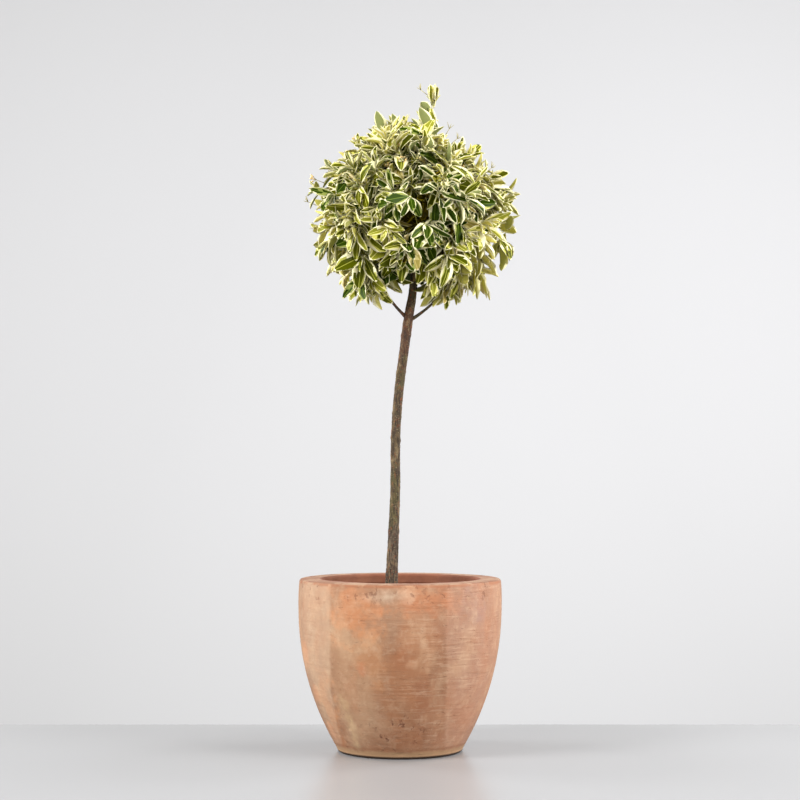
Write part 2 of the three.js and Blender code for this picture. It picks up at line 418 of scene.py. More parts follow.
_, pot_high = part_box("pot")
POT_HEIGHT = pot_high.z
BELLY_RADIUS = pot_high.x
BELLY_HEIGHT = 0.88 * POT_HEIGHT
FOOT_RADIUS = 0.121
WALL_BULGE = 2.25
RIM_RADIUS = BELLY_RADIUS - 0.002
RIM_WIDTH = 0.046
RIM_DEPTH = 0.026
RIM_SLOPE = 0.026  # how far below the rim the wall inside reaches its full width
LIP_ROUNDING = 0.0045
FOOT_ROUNDING = 0.007
POT_WALL = 0.021
POT_FLOOR = 0.024
POT_EYE = 0.012  # radius of the middle faces of the underside and the floor
POT_SIDES = 240
OUTER_ROWS = 150
INNER_ROWS = 34
RIM_WAVE = 0.0007
PIT_DEPTH = 0.0011
CLAY_RELIEF = (
    (0.0011, 5, 4, 3),  # wobble
    (0.00022, 3, 260, 0),  # throwing rings
    (0.00016, 210, 210, 0),  # skin
)


def pot_radius(height):
    """Radius of the outside of the wall at a height."""
    if height < BELLY_HEIGHT:
        return BELLY_RADIUS - (BELLY_RADIUS - FOOT_RADIUS) * (1 - height / BELLY_HEIGHT) ** WALL_BULGE
    above = (height - BELLY_HEIGHT) / (POT_HEIGHT - BELLY_HEIGHT)
    return BELLY_RADIUS - (BELLY_RADIUS - RIM_RADIUS) * above**2


def arc(radius, height, size, start, steps=6):
    """A quarter turn in radius and height, starting at an angle."""
    angles = [start + i / steps * math.pi / 2 for i in range(steps + 1)]
    return [(radius + size * math.cos(a), height + size * math.sin(a)) for a in angles]


def pot_profile():
    """Radius and height up the outside from the middle of the underside, and down the inside from the rim."""
    mouth = RIM_RADIUS - RIM_WIDTH
    lip = RIM_RADIUS - LIP_ROUNDING
    top = POT_HEIGHT - LIP_ROUNDING
    under = POT_HEIGHT - RIM_DEPTH
    bend = under + 0.008
    foot = pot_radius(FOOT_ROUNDING) - FOOT_ROUNDING
    corner = pot_radius(POT_FLOOR) - POT_WALL - 0.016
    outside = (
        [(r, 0.0) for r in np.linspace(POT_EYE, foot, 9)[:-1]]
        + arc(foot, FOOT_ROUNDING, FOOT_ROUNDING, -math.pi / 2)
        + [(pot_radius(h), h) for h in np.linspace(FOOT_ROUNDING, top, OUTER_ROWS)[1:-1]]
        + arc(lip, top, LIP_ROUNDING, 0)
        + [(r, POT_HEIGHT) for r in np.linspace(lip, mouth + LIP_ROUNDING, 12)[1:-1]]
    )
    inside = arc(mouth + LIP_ROUNDING, top, LIP_ROUNDING, math.pi / 2)
    inside += [(mouth, h) for h in np.linspace(top, bend, 8)[1:]]
    for t in (0.25, 0.5, 0.75):
        inside.append((mix(mouth, pot_radius(under) - POT_WALL, smoothstep(t, 0, 1)), bend - RIM_SLOPE * t))
    inside += [(pot_radius(h) - POT_WALL, h) for h in np.linspace(under - 0.02, POT_FLOOR + 0.02, INNER_ROWS)]
    inside += [(r, POT_FLOOR) for r in np.linspace(corner, POT_EYE, 5)]
    return outside, inside


def hand_made(at):
    """How far the clay stands out from a perfect turning, with pits mostly low down."""
    pits = smoothstep(lumps(at, 60, 60, 9), 0.42, 0.62) * mix(0.15, 1.0, smoothstep(at.z, 0.16, 0.03))
    return (uneven(CLAY_RELIEF, at) - PIT_DEPTH * pits) * smoothstep(at.z, 0.0, 0.004)


def pot_mesh(material):
    outside, inside = pot_profile()
    points = []
    for radius, height in outside + inside:
        for way in spokes(POT_SIDES):
            at = way * radius + UP * height
            lift = RIM_WAVE * noise.noise(way * 2.1 + UP * 5) * smoothstep(height, 0.25, POT_HEIGHT)
            points.append(at + way * hand_made(at) + UP * lift)
    faces = tube_faces(len(outside + inside), POT_SIDES)
    is_inside = [0.0] * (len(outside) * POT_SIDES) + [1.0] * (len(inside) * POT_SIDES)
    return new_mesh("pot_clay", points, faces, material=material, inside=is_inside)


CLAY_PATCHES = (
    # bearing from the front, half its width, height, half how tall, amount, shade
    # the first spot, dark brown in the front middle, is partly the clay's mottling and partly painted shade
    # where the light from the sides leaves the middle darker
    (0.14, 0.52, 0.15, 0.13, 0.72, "94623F"),
    (0.3, 0.2, 0.1, 0.1, 0.6, "84583F"),
    (0.1, 0.5, 0.045, 0.035, 0.5, "8A5C3D"),
    (-0.45, 0.4, 0.285, 0.06, 0.6, "C98151"),
    (-0.3, 0.22, 0.2, 0.06, 0.3, "C68553"),
    (0.28, 0.5, 0.312, 0.032, 0.55, "C67C51"),
    (-0.98, 0.2, 0.1, 0.09, 0.5, "CD854F"),
    (-0.66, 0.1, 0.05, 0.08, 0.45, "CCB085"),
    (-0.1, 0.32, 0.318, 0.017, 0.5, "D2BCA4"),
    (0.8, 0.2, 0.298, 0.05, 0.9, "85675F"),
    (0.03, 0.13, 0.207, 0.03, 0.5, "8C5838"),
    (0.12, 0.07, 0.19, 0.01, 0.3, "D5B08E"),
    (-1.25, 0.16, 0.2, 0.04, 0.5, "CB7E4C"),
    (-1.2, 0.14, 0.12, 0.03, 0.5, "CB7E4C"),
    (0.42, 0.16, 0.15, 0.09, 0.45, "8F6449"),
    (-0.38, 0.08, 0.175, 0.02, 0.3, "C4744F"),
    (-1.15, 0.12, 0.05, 0.03, 0.6, "C9794A"),
    (2.5, 0.9, 0.2, 0.12, 0.5, "AA7651"),
    (-2.2, 0.6, 0.27, 0.06, 0.5, "D48D61"),
    (1.6, 0.5, 0.12, 0.08, 0.45, "B98A62"),
    (3.0, 0.4, 0.07, 0.05, 0.5, "D0A783"),
)
CLAY_MOTTLES = (
    # scale, low, high, stretch, shift, amount, shade
    (11.0, 0.42, 0.66, (1, 1, 0.6), (3, 1, 2), 0.3, "B8764E"),
    (15.0, 0.44, 0.68, (1, 1, 0.5), (7, 2, 5), 0.26, "D6B38F"),
    (20.0, 0.46, 0.7, (1, 1, 0.5), (1, 8, 4), 0.2, "8E5E42"),
    (34.0, 0.5, 0.7, (1, 1, 0.8), (4, 6, 1), 0.2, "D2AE8C"),
    (60.0, 0.5, 0.7, (1, 1, 1.2), (2, 3, 9), 0.14, "DCC0A2"),
    (66.0, 0.52, 0.7, (1, 1, 1.2), (5, 5, 1), 0.2, "9A6442"),
)


def terracotta():
    """Matt fired clay: sandy, orange and brown mottling, chips and a sandy foot. Painted light: a pale sheen
    and an upright pale stripe on the front left, and a paler right front. Painted shade: darker sides, partly
    the front middle, the inside wall, and a contact shadow at the bottom of the foot.
    """
    s = Surface("terracotta", 0.85)
    x, y, z = s.axes()
    bearing = s.maths("ARCTAN2", x, y * -1.0)  # 0 at the front, growing to the right
    ragged = s.grain(30.0, 5.0, 0.6) - 0.5

    def patch(at, width, height, tall, torn=1.3):
        """A soft ragged spot centred on a bearing and a height."""
        du = s.maths("WRAP", bearing - at, math.pi, -math.pi) / width
        dv = (z - height) / tall
        return s.between(s.maths("SQRT", du * du + dv * dv) + ragged * (torn * 2), 1.1, 0.2)

    def mottle(scale, low, high, stretch=(1, 1, 1), shift=(0, 0, 0), distortion=0.4):
        return s.between(s.grain(scale, 5.0, 0.6, stretch, shift, distortion), low, high)

    s.colour = s.blend(mottle(6.0, 0.36, 0.64), "8F674C", "9A755A")
    # painted shade: the right-hand side made darker, where the fill light falls brightest
    s.over(s.between(x, 0.02, 0.14), 0.62, "8E6451")
    # painted shade: both sides, as seen from the front, made darker where the rim lights fall
    s.over(s.between(s.maths("ABSOLUTE", x), 0.15, 0.2), 0.6, "8F6A52")
    # painted sheen: a soft pale spot on the front left
    s.over(patch(-0.52, 0.4, 0.17, 0.18, 0.4), 0.6, "B48B69")
    for *place, amount, shade in CLAY_PATCHES:
        s.over(patch(*place), amount, shade)

    torn = (s.grain(11.0, 5.0, 0.65) - 0.5) * 0.05
    # painted sheen: a pale upright stripe down the front left, laid where the edge of the left light falls
    past_sheen_stripe = x + torn * 0.3 - s.ramp(z, 0.03, 0.14, 0.018, 0.0)
    run = s.between(past_sheen_stripe, -0.13, -0.137) * s.between(y + torn * 2.0, 0.0, -0.1)
    s.over(run, 0.44, "C8AA8E")
    # painted light: the front made paler right of this upright edge, where the right light falls
    painted_light_edge = s.between(x + torn * 0.25, 0.084, 0.092) * s.between(y, 0.03, -0.08)
    s.over(painted_light_edge, 0.26, "CFA287")
    for *kind, amount, shade in CLAY_MOTTLES:
        s.over(mottle(*kind), amount, shade)

    brushed = mottle(9.0, 0.45, 0.58, (1, 1, 1.5), (4, 4, 4)) * 0.75 + 0.25
    brushed = brushed * (s.between(x, -0.08, 0.08) * 0.6 + 0.4)
    dark_strokes = mottle(13.0, 0.53, 0.6, (1, 1, 17), (1, 4, 2), 0.2) * brushed
    pale_strokes = mottle(17.0, 0.54, 0.61, (1, 1, 13), (6, 1, 3), 0.2) * brushed
    s.over(dark_strokes, 0.26, "915D3D")
    s.over(pale_strokes, 0.18, "DBB99B")

    worn = patch(-0.1, 0.7, 0.055, 0.06, 0.6) + s.between(z, 0.295, 0.315) * 0.5
    cluster = mottle(14.0, 0.44, 0.54, (1, 1, 1), (9, 9, 9))
    chips = mottle(95.0, 0.58, 0.63, (1, 1, 0.8), (2, 2, 2), 0.5) * (worn * cluster)
    scuffs = mottle(110.0, 0.64, 0.68, (1, 1, 2.5), (8, 1, 6), 0.8) * 0.5
    s.over(chips, 0.95, "6A3B25")
    s.over(scuffs, 0.6, "895438")
    lip = s.between(z, POT_HEIGHT - 0.009, POT_HEIGHT - 0.004) * mottle(24.0, 0.4, 0.5)
    s.over(lip, 0.65, "985C3C")
    rim = s.blend(mottle(20.0, 0.42, 0.6, (1, 1, 1), (6, 6, 2)), "845F4A", "9E8069")
    rim = s.blend(mottle(55.0, 0.52, 0.62, (1, 1, 1), (2, 7, 7)) * 0.5, rim, "80492F")
    s.over(s.between(z, POT_HEIGHT - 0.003, POT_HEIGHT - 0.001), 0.9, rim)
    foot = z + ragged * 0.012
    s.over(s.between(foot, 0.0235, 0.019), 0.45, "8E5D3D")
    s.over(s.between(foot, 0.019, 0.011), 0.5, "BE9D76")
    # painted contact shadow: the lowest few millimetres of the foot made nearly black
    s.over(s.between(z, 0.0065, 0.0035), 0.95, "2E1C12")

    # painted shade: the inside wall, in the pot's own shade, made darker and redder than the outside
    wall = s.blend(mottle(18.0, 0.4, 0.62, (1, 1, 1), (1, 1, 8)), "703B25", "7E4830")
    s.over(s.add("ShaderNodeAttribute", "Fac", {}, attribute_name="inside"), 0.92, wall)

    s.relief(dark_strokes, 0.0005, 0.5)
    s.relief(s.grain(150.0, 5.0, 0.7), 0.0005, 0.5)
    s.relief(chips + scuffs, -0.0009, 0.8)
    s.roughness = s.ramp(ragged, -0.5, 1.0, 0.72, 0.96)
    return s.finish()


# ---------------------------------------------------------------- compost

compost_low, compost_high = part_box("compost")
COMPOST_SINK = 0.006  # how far the crumbs' middle level lies below the CAD top
COMPOST_RINGS = 46
COMPOST_SIDES = 140
COMPOST_RELIEF = ((0.004, 22), (0.003, 75), (0.002, 190))  # height and fineness
CHIP_COUNT = 900
CHIP_BREADTH = (0.004, 0.016)
CHIP_FLATNESS = 0.3
GRIT_COUNT = 90
GRIT_BREADTH = (0.002, 0.0045)
GRIT_FLATNESS = 0.8
CLEAR_OF_WALL = 0.016
LUMP_FORMS = 5
LUMP_FACES = ((0, 1, 3, 2), (4, 6, 7, 5), (0, 4, 5, 1), (2, 3, 7, 6), (0, 2, 6, 4), (1, 5, 7, 3))


def on_compost(way, far, lift=0.0):
    """The place on the compost's top, far out in a level direction."""
    at = way * far + UP * (compost_high.z - COMPOST_SINK)
    return at + UP * (sum(height * noise.noise(at * fine) for height, fine in COMPOST_RELIEF) + lift)


def compost_mesh(material):
    """A loose, crumbly top that meets the wall, with the plug below it closed."""
    wall = compost_high.x
    plug = ((wall * 0.7, compost_low.z + 0.01), (wall * 0.97, mix(compost_low.z, compost_high.z, 0.6)))
    points = [way * radius + UP * height for radius, height in plug for way in spokes(COMPOST_SIDES)]
    widest = pot_radius(compost_high.z - COMPOST_SINK) - POT_WALL - 0.001
    for i in range(COMPOST_RINGS):
        radius = min(widest, wall * (1 - i / COMPOST_RINGS))
        points += [on_compost(way, radius) for way in spokes(COMPOST_SIDES)]
    faces = tube_faces(COMPOST_RINGS + len(plug), COMPOST_SIDES)
    return new_mesh("compost_top", points, faces, material=material)


def crumb(name, rng, flat):
    """A closed lump of six crooked faces, about 1 m across, to be sized where it lies."""
    corners = [Vector((x, y, z * flat)) for x in (-0.5, 0.5) for y in (-0.5, 0.5) for z in (-0.5, 0.5)]
    corners = [c + Vector([rng.uniform(-0.2, 0.2) for _ in range(3)]) for c in corners]
    return form(name, corners, LUMP_FACES, [0] * len(LUMP_FACES))


def strewn(name, rng, count, material, breadths, flat):
    """Lumps strewn over the compost."""
    forms = [crumb(f"{name}_{i}", rng, flat) for i in range(LUMP_FORMS)]
    rows = []
    for _ in range(count):
        far = (compost_high.x - CLEAR_OF_WALL) * math.sqrt(rng.random())
        angle = rng.uniform(0, math.tau)
        breadth = rng.uniform(*breadths)
        place = on_compost(Vector((math.cos(angle), math.sin(angle), 0)), far, breadth * flat * 0.2)
        turn = (rng.gauss(0, 0.35), rng.gauss(0, 0.35), rng.uniform(0, math.tau))
        size = (breadth, breadth * rng.uniform(0.5, 1.0), breadth)
        rows.append((place, turn, size, rng.randrange(LUMP_FORMS)))
    made = scattered(name, rows, forms, {"Lump": material})
    discard(forms)
    return made


def chip_bark():
    s, streaks = grained("chip_bark", 0.9, (180.0, 4.0, 0.65), 0.35, 0.68, "2C1E14", "6A4B32")
    s.relief(streaks, 0.001, 0.6)
    return s.finish()


def pale_grit():
    return grained("pale_grit", 0.85, (400.0, 2.0, 0.5), 0.4, 0.6, "C8C2B4", "E6E2D6")[0].finish()


def damp_compost():
    s, crumbs = grained("damp_compost", 0.95, (260.0, 4.0, 0.7), 0.35, 0.7, "241911", "4A3626")
    s.over(s.between(s.grain(90.0, 3.0, 0.6), 0.58, 0.7), 0.5, "6A4A33")
    s.relief(crumbs, 0.002, 0.8)
    return s.finish()


# ---------------------------------------------------------------- stem and boughs

STEM_SIDES = 60
STEM_STEP = 0.0016
STEM_INTO_CROWN = 0.872  # height from which the stem's joints belong to the crown's skeleton
FLARE = 0.0016
FLARE_FALL = 0.012
FLARE_LOBES = 5
KNOT_COUNT = 17
BOUGH_SIDES = 16
BOUGH_STEP = 0.0016
BOUGH_COLLAR = 0.0052
BOUGH_RADIUS = 0.0031
BOUGH_TIP = 0.002
BOUGH_INTO_STEM = 0.009
BOUGH_INTO_MASS = 0.05  # how far a bough runs on inside its mass of leaves
BARK_RELIEF = (
    (0.05, 8, 120, 0),  # grain
    (0.035, 1.4, 210, 0),  # wrinkles
    (0.06, 1.1, 36, 4),  # plates
)
CRACK_DEPTH = 0.085


def level_sections(node):
    """Centres and radii of the level rings of an upright CAD limb."""
    levels = {}
    for vertex in frame["nodes"][node].data.vertices:
        levels.setdefault(round(vertex.co.z, 4), []).append(vertex.co)
    rings = [levels[height] for height in sorted(levels)]
    centres = [sum(ring, Vector()) / len(ring) for ring in rings]
    return centres, [max((p - centre).length for p in ring) for centre, ring in zip(centres, rings)]


def evenly(points, radii, step):
    """The same line with a point at every step, and its radii."""
    at = np.array([tuple(p) for p in points])
    along = np.concatenate([[0], np.cumsum(np.linalg.norm(np.diff(at, axis=0), axis=1))])
    wanted = np.linspace(0, along[-1], max(2, int(along[-1] / step) + 1))
    line = [Vector([np.interp(w, along, at[:, k]) for k in range(3)]) for w in wanted]
    return line, [float(np.interp(w, along, radii)) for w in wanted]


def knots(length, seed):
    """Scars of shoots that were rubbed off, two at each joint: how far along, bearing, breadth and height."""
    rng = random.Random(seed)
    scars = []
    for i in range(KNOT_COUNT):
        along = length * (0.05 + 0.92 * (i + rng.uniform(-0.3, 0.3)) / KNOT_COUNT)
        bearing = rng.uniform(0, math.tau)
        for side in (0, math.pi):
            height = rng.uniform(0.0005, 0.0022)
            scars.append((along + rng.gauss(0, 0.002), bearing + side, rng.uniform(0.0035, 0.0065), height))
    return scars


def knot_height(scars, along, angle, radius):
    """Rise of the scars at a place on the stem: each a low swelling round a small hollow."""
    total = 0.0
    for far, bearing, breadth, height in scars:
        if abs(along - far) <= breadth * 2.4:
            aside = (angle - bearing + math.pi) % math.tau - math.pi
            d = math.hypot((along - far) * 1.25, aside * radius) / breadth
            total += height * (math.exp(-d * d) - 0.7 * math.exp(-7 * d * d))
    return total


def barked_limb(name, line, radii, sides, material, scars=(), upright=False, lobes=0.0):
    """A limb with bark relief about a line. An upright limb's sections lie level, as at a cut foot."""
    points = []
    across = RIGHT
    along = 0.0
    for i, (centre, radius) in enumerate(zip(line, radii)):
        ahead = UP if upright else heading(line, i)
        across = (across - ahead * across.dot(ahead)).normalized()
        along += (centre - line[i - 1]).length if i else 0.0
        for s, way in enumerate(spokes(sides, across, ahead.cross(across))):
            angle = s / sides * math.tau
            at = Vector((math.cos(angle), math.sin(angle), along))
            cracks = smoothstep(abs(lumps(at, 4.2, 26)), 0.16, 0.0)
            out = radius * (1 + uneven(BARK_RELIEF, at) - CRACK_DEPTH * cracks)
            out += knot_height(scars, along, angle, radius)
            out += lobes * math.exp(-along / FLARE_FALL) * math.cos(FLARE_LOBES * angle + 1.1)
            points.append(centre + way * out)
    faces = tube_faces(len(line), sides)[:-1]
    tip = len(points)
    points.append(line[-1] + (line[-1] - line[-2]).normalized() * radii[-1] * 0.6)
    faces += [(tip - sides + s, tip - sides + (s + 1) % sides, tip) for s in range(sides)]
    return new_mesh(name, points, faces, material=material)


def bough_line(name, outwards):
    """Points and radii along a bough, from inside the stem to its end inside its mass of leaves."""
    low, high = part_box(name)
    near = Vector((low.x if outwards > 0 else high.x, 0.0, low.z + 0.002))
    end = Vector((high.x if outwards > 0 else low.x, low.y + 0.002, high.z - 0.003))
    run = (end - near).normalized()
    foot = near - run * BOUGH_INTO_STEM
    tip = end + (run + UP * 0.9).normalized() * BOUGH_INTO_MASS
    bend = mix(foot, end, 0.8) - UP * 0.003
    shares = [i / 24 for i in range(25)]
    path = [foot * (1 - t) ** 2 + bend * 2 * t * (1 - t) + tip * t * t for t in shares]
    line, _ = evenly(path, [0.0] * len(path), BOUGH_STEP)
    shares = [i / (len(line) - 1) for i in range(len(line))]
    collar = BOUGH_COLLAR - BOUGH_RADIUS
    return line, [mix(BOUGH_RADIUS, BOUGH_TIP, t) + collar * math.exp(-t / 0.1) for t in shares]


def bark():
    """Bark with dark cracks: grey-brown low down, olive in the middle, rusty above, with scars and specks."""
    s = Surface("bark", 0.85)
    fibres = s.grain(420.0, 4.0, 0.6, (1, 1, 0.1))
    plates = s.grain(75.0, 4.0, 0.6, (1, 1, 0.45), (3, 1, 7))
    broad = s.grain(22.0, 3.0, 0.6, (1, 1, 0.6), (5, 5, 2))
    specks = s.grain(330.0, 3.0, 0.6, (0.8, 0.8, 1.2), (1, 7, 3))
    scabs = s.grain(150.0, 4.0, 0.65, (1, 1, 0.8), (8, 2, 2))
    height = s.axes()[2] + (broad - 0.5) * 0.3
    s.colour = s.blend(s.between(height, 0.42, 0.55), "605040", "55442C")
    s.colour = s.blend(s.between(height, 0.76, 0.8), s.colour, "523520")
    for pattern, low, high, amount, shade in (
        (height, 0.86, 0.9, 0.8, "50472F"),
        (height, 0.37, 0.31, 0.55, "4E3726"),
        (plates, 0.5, 0.58, 0.75, "3A2B21"),
        (plates, 0.46, 0.36, 0.45, "94805E"),
        (broad, 0.53, 0.64, 0.42, "58552C"),
        (scabs, 0.58, 0.63, 0.75, "83451F"),
        (fibres, 0.48, 0.42, 0.85, "21160F"),
        (specks, 0.6, 0.67, 0.45, "A89878"),
        (specks, 0.4, 0.34, 0.6, "251A14"),
    ):
        s.over(s.between(pattern, low, high), amount, shade)
    s.relief(fibres, 0.001, 0.8)
    s.relief(scabs, 0.0008, 0.6)
    return s.finish()


def twig_bark():
    return grained("twig_bark", 0.75, (160.0, 3.0, 0.6), 0.38, 0.64, "4A3A18", "887030")[0].finish()


def green_bark():
    return grained("green_bark", 0.6, (120.0, 3.0, 0.6), 0.4, 0.64, "96943C", "C8C078")[0].finish()


# ---------------------------------------------------------------- branching

CROWN_CENTRE = Vector((0.02, 0.0, 1.082))
SPRAYS = 72
SPRAY_DEPTH = (0.082, 0.112)  # of the fork that a spray of shoots grows from, below the crown's surface
SPRAY_SHOOTS = (5, 8)
SPRAY_SPREAD = (0.55, 1.05)  # angles of a spray's shoots from its middle one
SPRAY_REACH = (0.05, 0.09)
LOWEST_SPRAY = -0.93
SHOOT_PAIRS = (4, 6)  # pairs of leaves on a shoot
SHOOT_SIZE = (0.74, 1.14)
TONE_KEPT = 0.6  # share of shoots in the tone of their spray
TIP_DEPTH = (-0.010, 0.042)
CLUMPING = 0.04  # how much the surface rises and falls between clumps
SHOULDERS = 0.01  # how much deeper the highest tips are, because their leaves stand up
SIDEWAYS = 0.016  # how much farther the tips reach at the sides than in front and behind
HANGING = 0.036  # how much deeper the lowest tips are, because their leaves hang
CLEAR_BELOW = 0.985  # no shoots lower than this about the stem
CLEAR_WIDTH = 0.036
STEM_TOP_X = 0.012
OPENNESS = 0.6  # share of shoots left out in front and behind, where the head shows its inside
INNER_SHOOTS = 100
INNER_DEPTH = (0.06, 0.140)
INNER_PAIRS = (3, 4)
INNER_SIZE = (0.9, 1.1)
LOWEST_INNER = -0.75
JOINT_STEP = 0.011
NEAREST_JOINT = 0.012  # no limb leaves from a joint nearer to its target than this
PATH_COST = 0.22  # how much a long way from the root counts against a joint
WANDER = 0.0035
TIP_RADIUS = 0.0008
PIPE_POWER = 2.45
YOUNG_TWIG = 1.3  # how many times as thick as a tip a twig may be and still be green
TWIG_SIDES = 6
LEAFY_LENGTH = 0.05
LEAF_LENGTH = 0.06
LEAF_OVERHANG = 0.016  # how far outside the CAD box a leaf may end
PAIR_SPACING = 0.0025
SPACING_GROWTH = 1.4
OLD_SHOOT_DEPTH = 0.006
OLD_SHOOT_SIZE = 0.94
OLD_SHOOTS = (
    # direction from the crown's centre, tone
    (0.17, -0.93, -0.3, "deep"),
    (0.0, -1.0, -0.02, "deep"),
    (-0.55, -0.5, -0.62, "mid"),
    (0.42, -0.65, -0.62, "mid"),
    (-0.75, -0.6, 0.05, "deep"),
    (-0.3, 0.9, -0.3, "deep"),
    (0.6, 0.7, -0.4, "deep"),
    (0.95, 0.2, -0.3, "mid"),
    (-0.9, 0.3, -0.35, "mid"),
)
LOW_SHOOT_SIZE = 0.78
LOW_SHOOTS = (
    # place from the crown's centre of a shoot that hangs below the head, tone
    (-0.122, -0.03, -0.135, "pale"),
    (-0.098, -0.06, -0.145, "mid"),
    (-0.066, -0.05, -0.152, "fresh"),
    (-0.078, 0.03, -0.15, "mid"),
    (0.042, -0.06, -0.15, "pale"),
    (0.066, -0.02, -0.158, "mid"),
    (0.092, -0.05, -0.135, "pale"),
    (0.086, 0.03, -0.145, "fresh"),
)
LEADER_SHOOTS = (
    # place from the leader's foot, direction, pairs of leaves, tone, size
    ((-0.001, 0.008, 0.066), (0, 0.05, 1), 2, "mid", 0.5),
    ((-0.022, 0.012, 0.03), (-0.2, 0.1, 1), 3, "mid", 0.62),
    ((-0.058, -0.004, 0.02), (0.05, -0.1, 1), 4, "pale", 0.66),
    ((-0.078, -0.014, 0.012), (-0.2, -0.1, 1), 4, "mid", 0.7),
    ((-0.112, -0.01, -0.002), (-0.3, -0.1, 1), 4, "fresh", 0.74),
)

foliage = sorted(n for n in frame["nodes"] if n.startswith("foliage"))
Joint = namedtuple("Joint", "point way parent path is_open floor")


class Shoot:
    """A leafy end of a twig: where its tip is, which way it points, and what leaves it bears."""

    def __init__(self, tip, way, pairs, tone, size, habit="outer"):
        self.tip = tip
        self.way = way.normalized()
        self.pairs = pairs
        self.tone = tone
        self.size = size
        self.upright = habit == "upright"
        self.old = habit == "old"


def crown_surface():
    """The outside of the head of leaves without its leader, to look up how far it reaches."""
    points, faces = [], []
    for node in foliage:
        if node != "foliage_leader":
            mesh = frame["nodes"][node].data
            first = len(points)
            points += [v.co.copy() for v in mesh.vertices]
            faces += [[first + v for v in p.vertices] for p in mesh.polygons]
    return BVHTree.FromPolygons(points, faces)


def crown_reach(surface, way):
    """How far the crown reaches from its centre in a direction."""
    far = 0.6
    hit = surface.ray_cast(CROWN_CENTRE + way * far, -way)
    return far - hit[3] if hit[0] is not None else None


def spiral_ways(count, rng):
    """Directions spread evenly over a ball, a little disturbed."""
    turn = rng.uniform(0, math.tau)
    for i in range(count):
        z = 1 - 2 * (i + 0.5) / count
        flat = math.sqrt(1 - z * z)
        angle = turn + i * math.pi * (3 - math.sqrt(5))
        yield (Vector((flat * math.cos(angle), flat * math.sin(angle), z)) + jitter(rng, 0.06)).normalized()


def tone_for(rng, way):
    """Young pale growth is mostly high; pale leaves are also dealt to the sides and lower sides and deep
    green low in front and behind, as painted light and shade.
    """
    front = smoothstep(abs(way.y), 0.6, 0.95)
    low_side = (1 - front) * (way.z < 0.3)
    # painted light and shade: paler tones at the sides and lower sides, deeper ones in front and behind
    weights = {
        "deep": 0.07 + 0.27 * front * (way.z < 0.15),
        "mid": 0.3 - 0.1 * low_side,
        "fresh": 0.28 + 0.04 * low_side,
        "pale": 0.35 - 0.2 * front + 0.18 * low_side,
    }
    return rng.choices(list(weights), list(weights.values()))[0]


def raised(facing, height):
    """A shoot's direction, lifted towards the light more the higher it grows, and least underneath."""
    rise = 0.25 * smoothstep(height, -0.5, -0.1) + 0.4 * smoothstep(height, 0.0, 0.6)
    rise -= 0.25 * smoothstep(height, -0.5, -0.9)
    return (facing.normalized() + UP * rise).normalized()


def tip_offset(out):
    """How far from the crown's surface the shaping of the head takes a tip in a direction."""
    deeper = HANGING * smoothstep(-out.z, 0.2, 0.75)
    deeper += CLUMPING * noise.noise(out * 3.1 + UP * 7)
    deeper += SHOULDERS * (smoothstep(out.z, 0.1, 0.5) + smoothstep(out.z, 0.7, 0.95))
    return SIDEWAYS * (abs(out.x) ** 3 - out.y**2) - deeper


def spray(rng, surface, way, reach):
    """A fork below the crown's surface, its direction, and the shoots that fan out from it."""
    fork = CROWN_CENTRE + way * (reach - rng.uniform(*SPRAY_DEPTH))
    tone = tone_for(rng, way)
    count = rng.randint(*SPRAY_SHOOTS)
    aside = square_to(way, rng)
    shoots = []
    for k in range(count):
        if k == 0:
            facing = way + jitter(rng, 0.12)
        else:
            spread = rng.uniform(*SPRAY_SPREAD)
            facing = way * math.cos(spread) + aside * math.sin(spread)
            aside.rotate(Quaternion(way, math.tau / (count - 1) + rng.gauss(0, 0.2)))
        facing = raised(facing, way.z)
        tip = fork + facing * rng.uniform(*SPRAY_REACH)
        far = (tip - CROWN_CENTRE).length
        out = (tip - CROWN_CENTRE).normalized()
        room = crown_reach(surface, out) or reach
        deepest = room - rng.uniform(*TIP_DEPTH) - (0.0 if k == 0 else rng.uniform(0, 0.02)) + tip_offset(out)
        if far > deepest or k == 0:
            tip = CROWN_CENTRE + out * deepest
        if k > 0 and rng.random() < OPENNESS * smoothstep(abs(out.y), 0.8, 0.95):
            continue
        own = tone if rng.random() < TONE_KEPT else tone_for(rng, way)
        if tip.z >= CLEAR_BELOW or abs(tip.x - STEM_TOP_X) >= CLEAR_WIDTH:
            shoots.append(Shoot(tip, facing, rng.randint(*SHOOT_PAIRS), own, rng.uniform(*SHOOT_SIZE)))
    return fork, way, shoots


def sprays_of_crown(rng, surface):
    found = []
    for way in spiral_ways(SPRAYS, rng):
        reach = crown_reach(surface, way)
        if reach is not None and way.z >= LOWEST_SPRAY:
            found.append(spray(rng, surface, way, reach))
    return found


def inner_shoots(rng, surface):
    """Older shoots inside the crown, in its shade; their olive tone is the leaf colours darkened as painted
    shade.
    """
    found = []
    for way in spiral_ways(INNER_SHOOTS, rng):
        reach = crown_reach(surface, way)
        if reach is not None and way.z >= LOWEST_INNER:
            tip = CROWN_CENTRE + way * (reach - rng.uniform(*INNER_DEPTH))
            facing = way + UP * 0.3 + jitter(rng, 0.25)
            found.append(Shoot(tip, facing, rng.randint(*INNER_PAIRS), "olive", rng.uniform(*INNER_SIZE)))
    return found


def old_shoots(surface):
    """Old shoots low on the outside of the head, with the largest leaves, and those that hang below it."""
    found = []
    for *way, tone in OLD_SHOOTS:
        way = Vector(way).normalized()
        tip = CROWN_CENTRE + way * (crown_reach(surface, way) - OLD_SHOOT_DEPTH)
        found.append(Shoot(tip, level(way) - UP * 0.5, 3, tone, OLD_SHOOT_SIZE, "old"))
    for *place, tone in LOW_SHOOTS:
        place = Vector(place)
        found.append(Shoot(CROWN_CENTRE + place, level(place) * 0.5 - UP, 3, tone, LOW_SHOOT_SIZE))
    return found


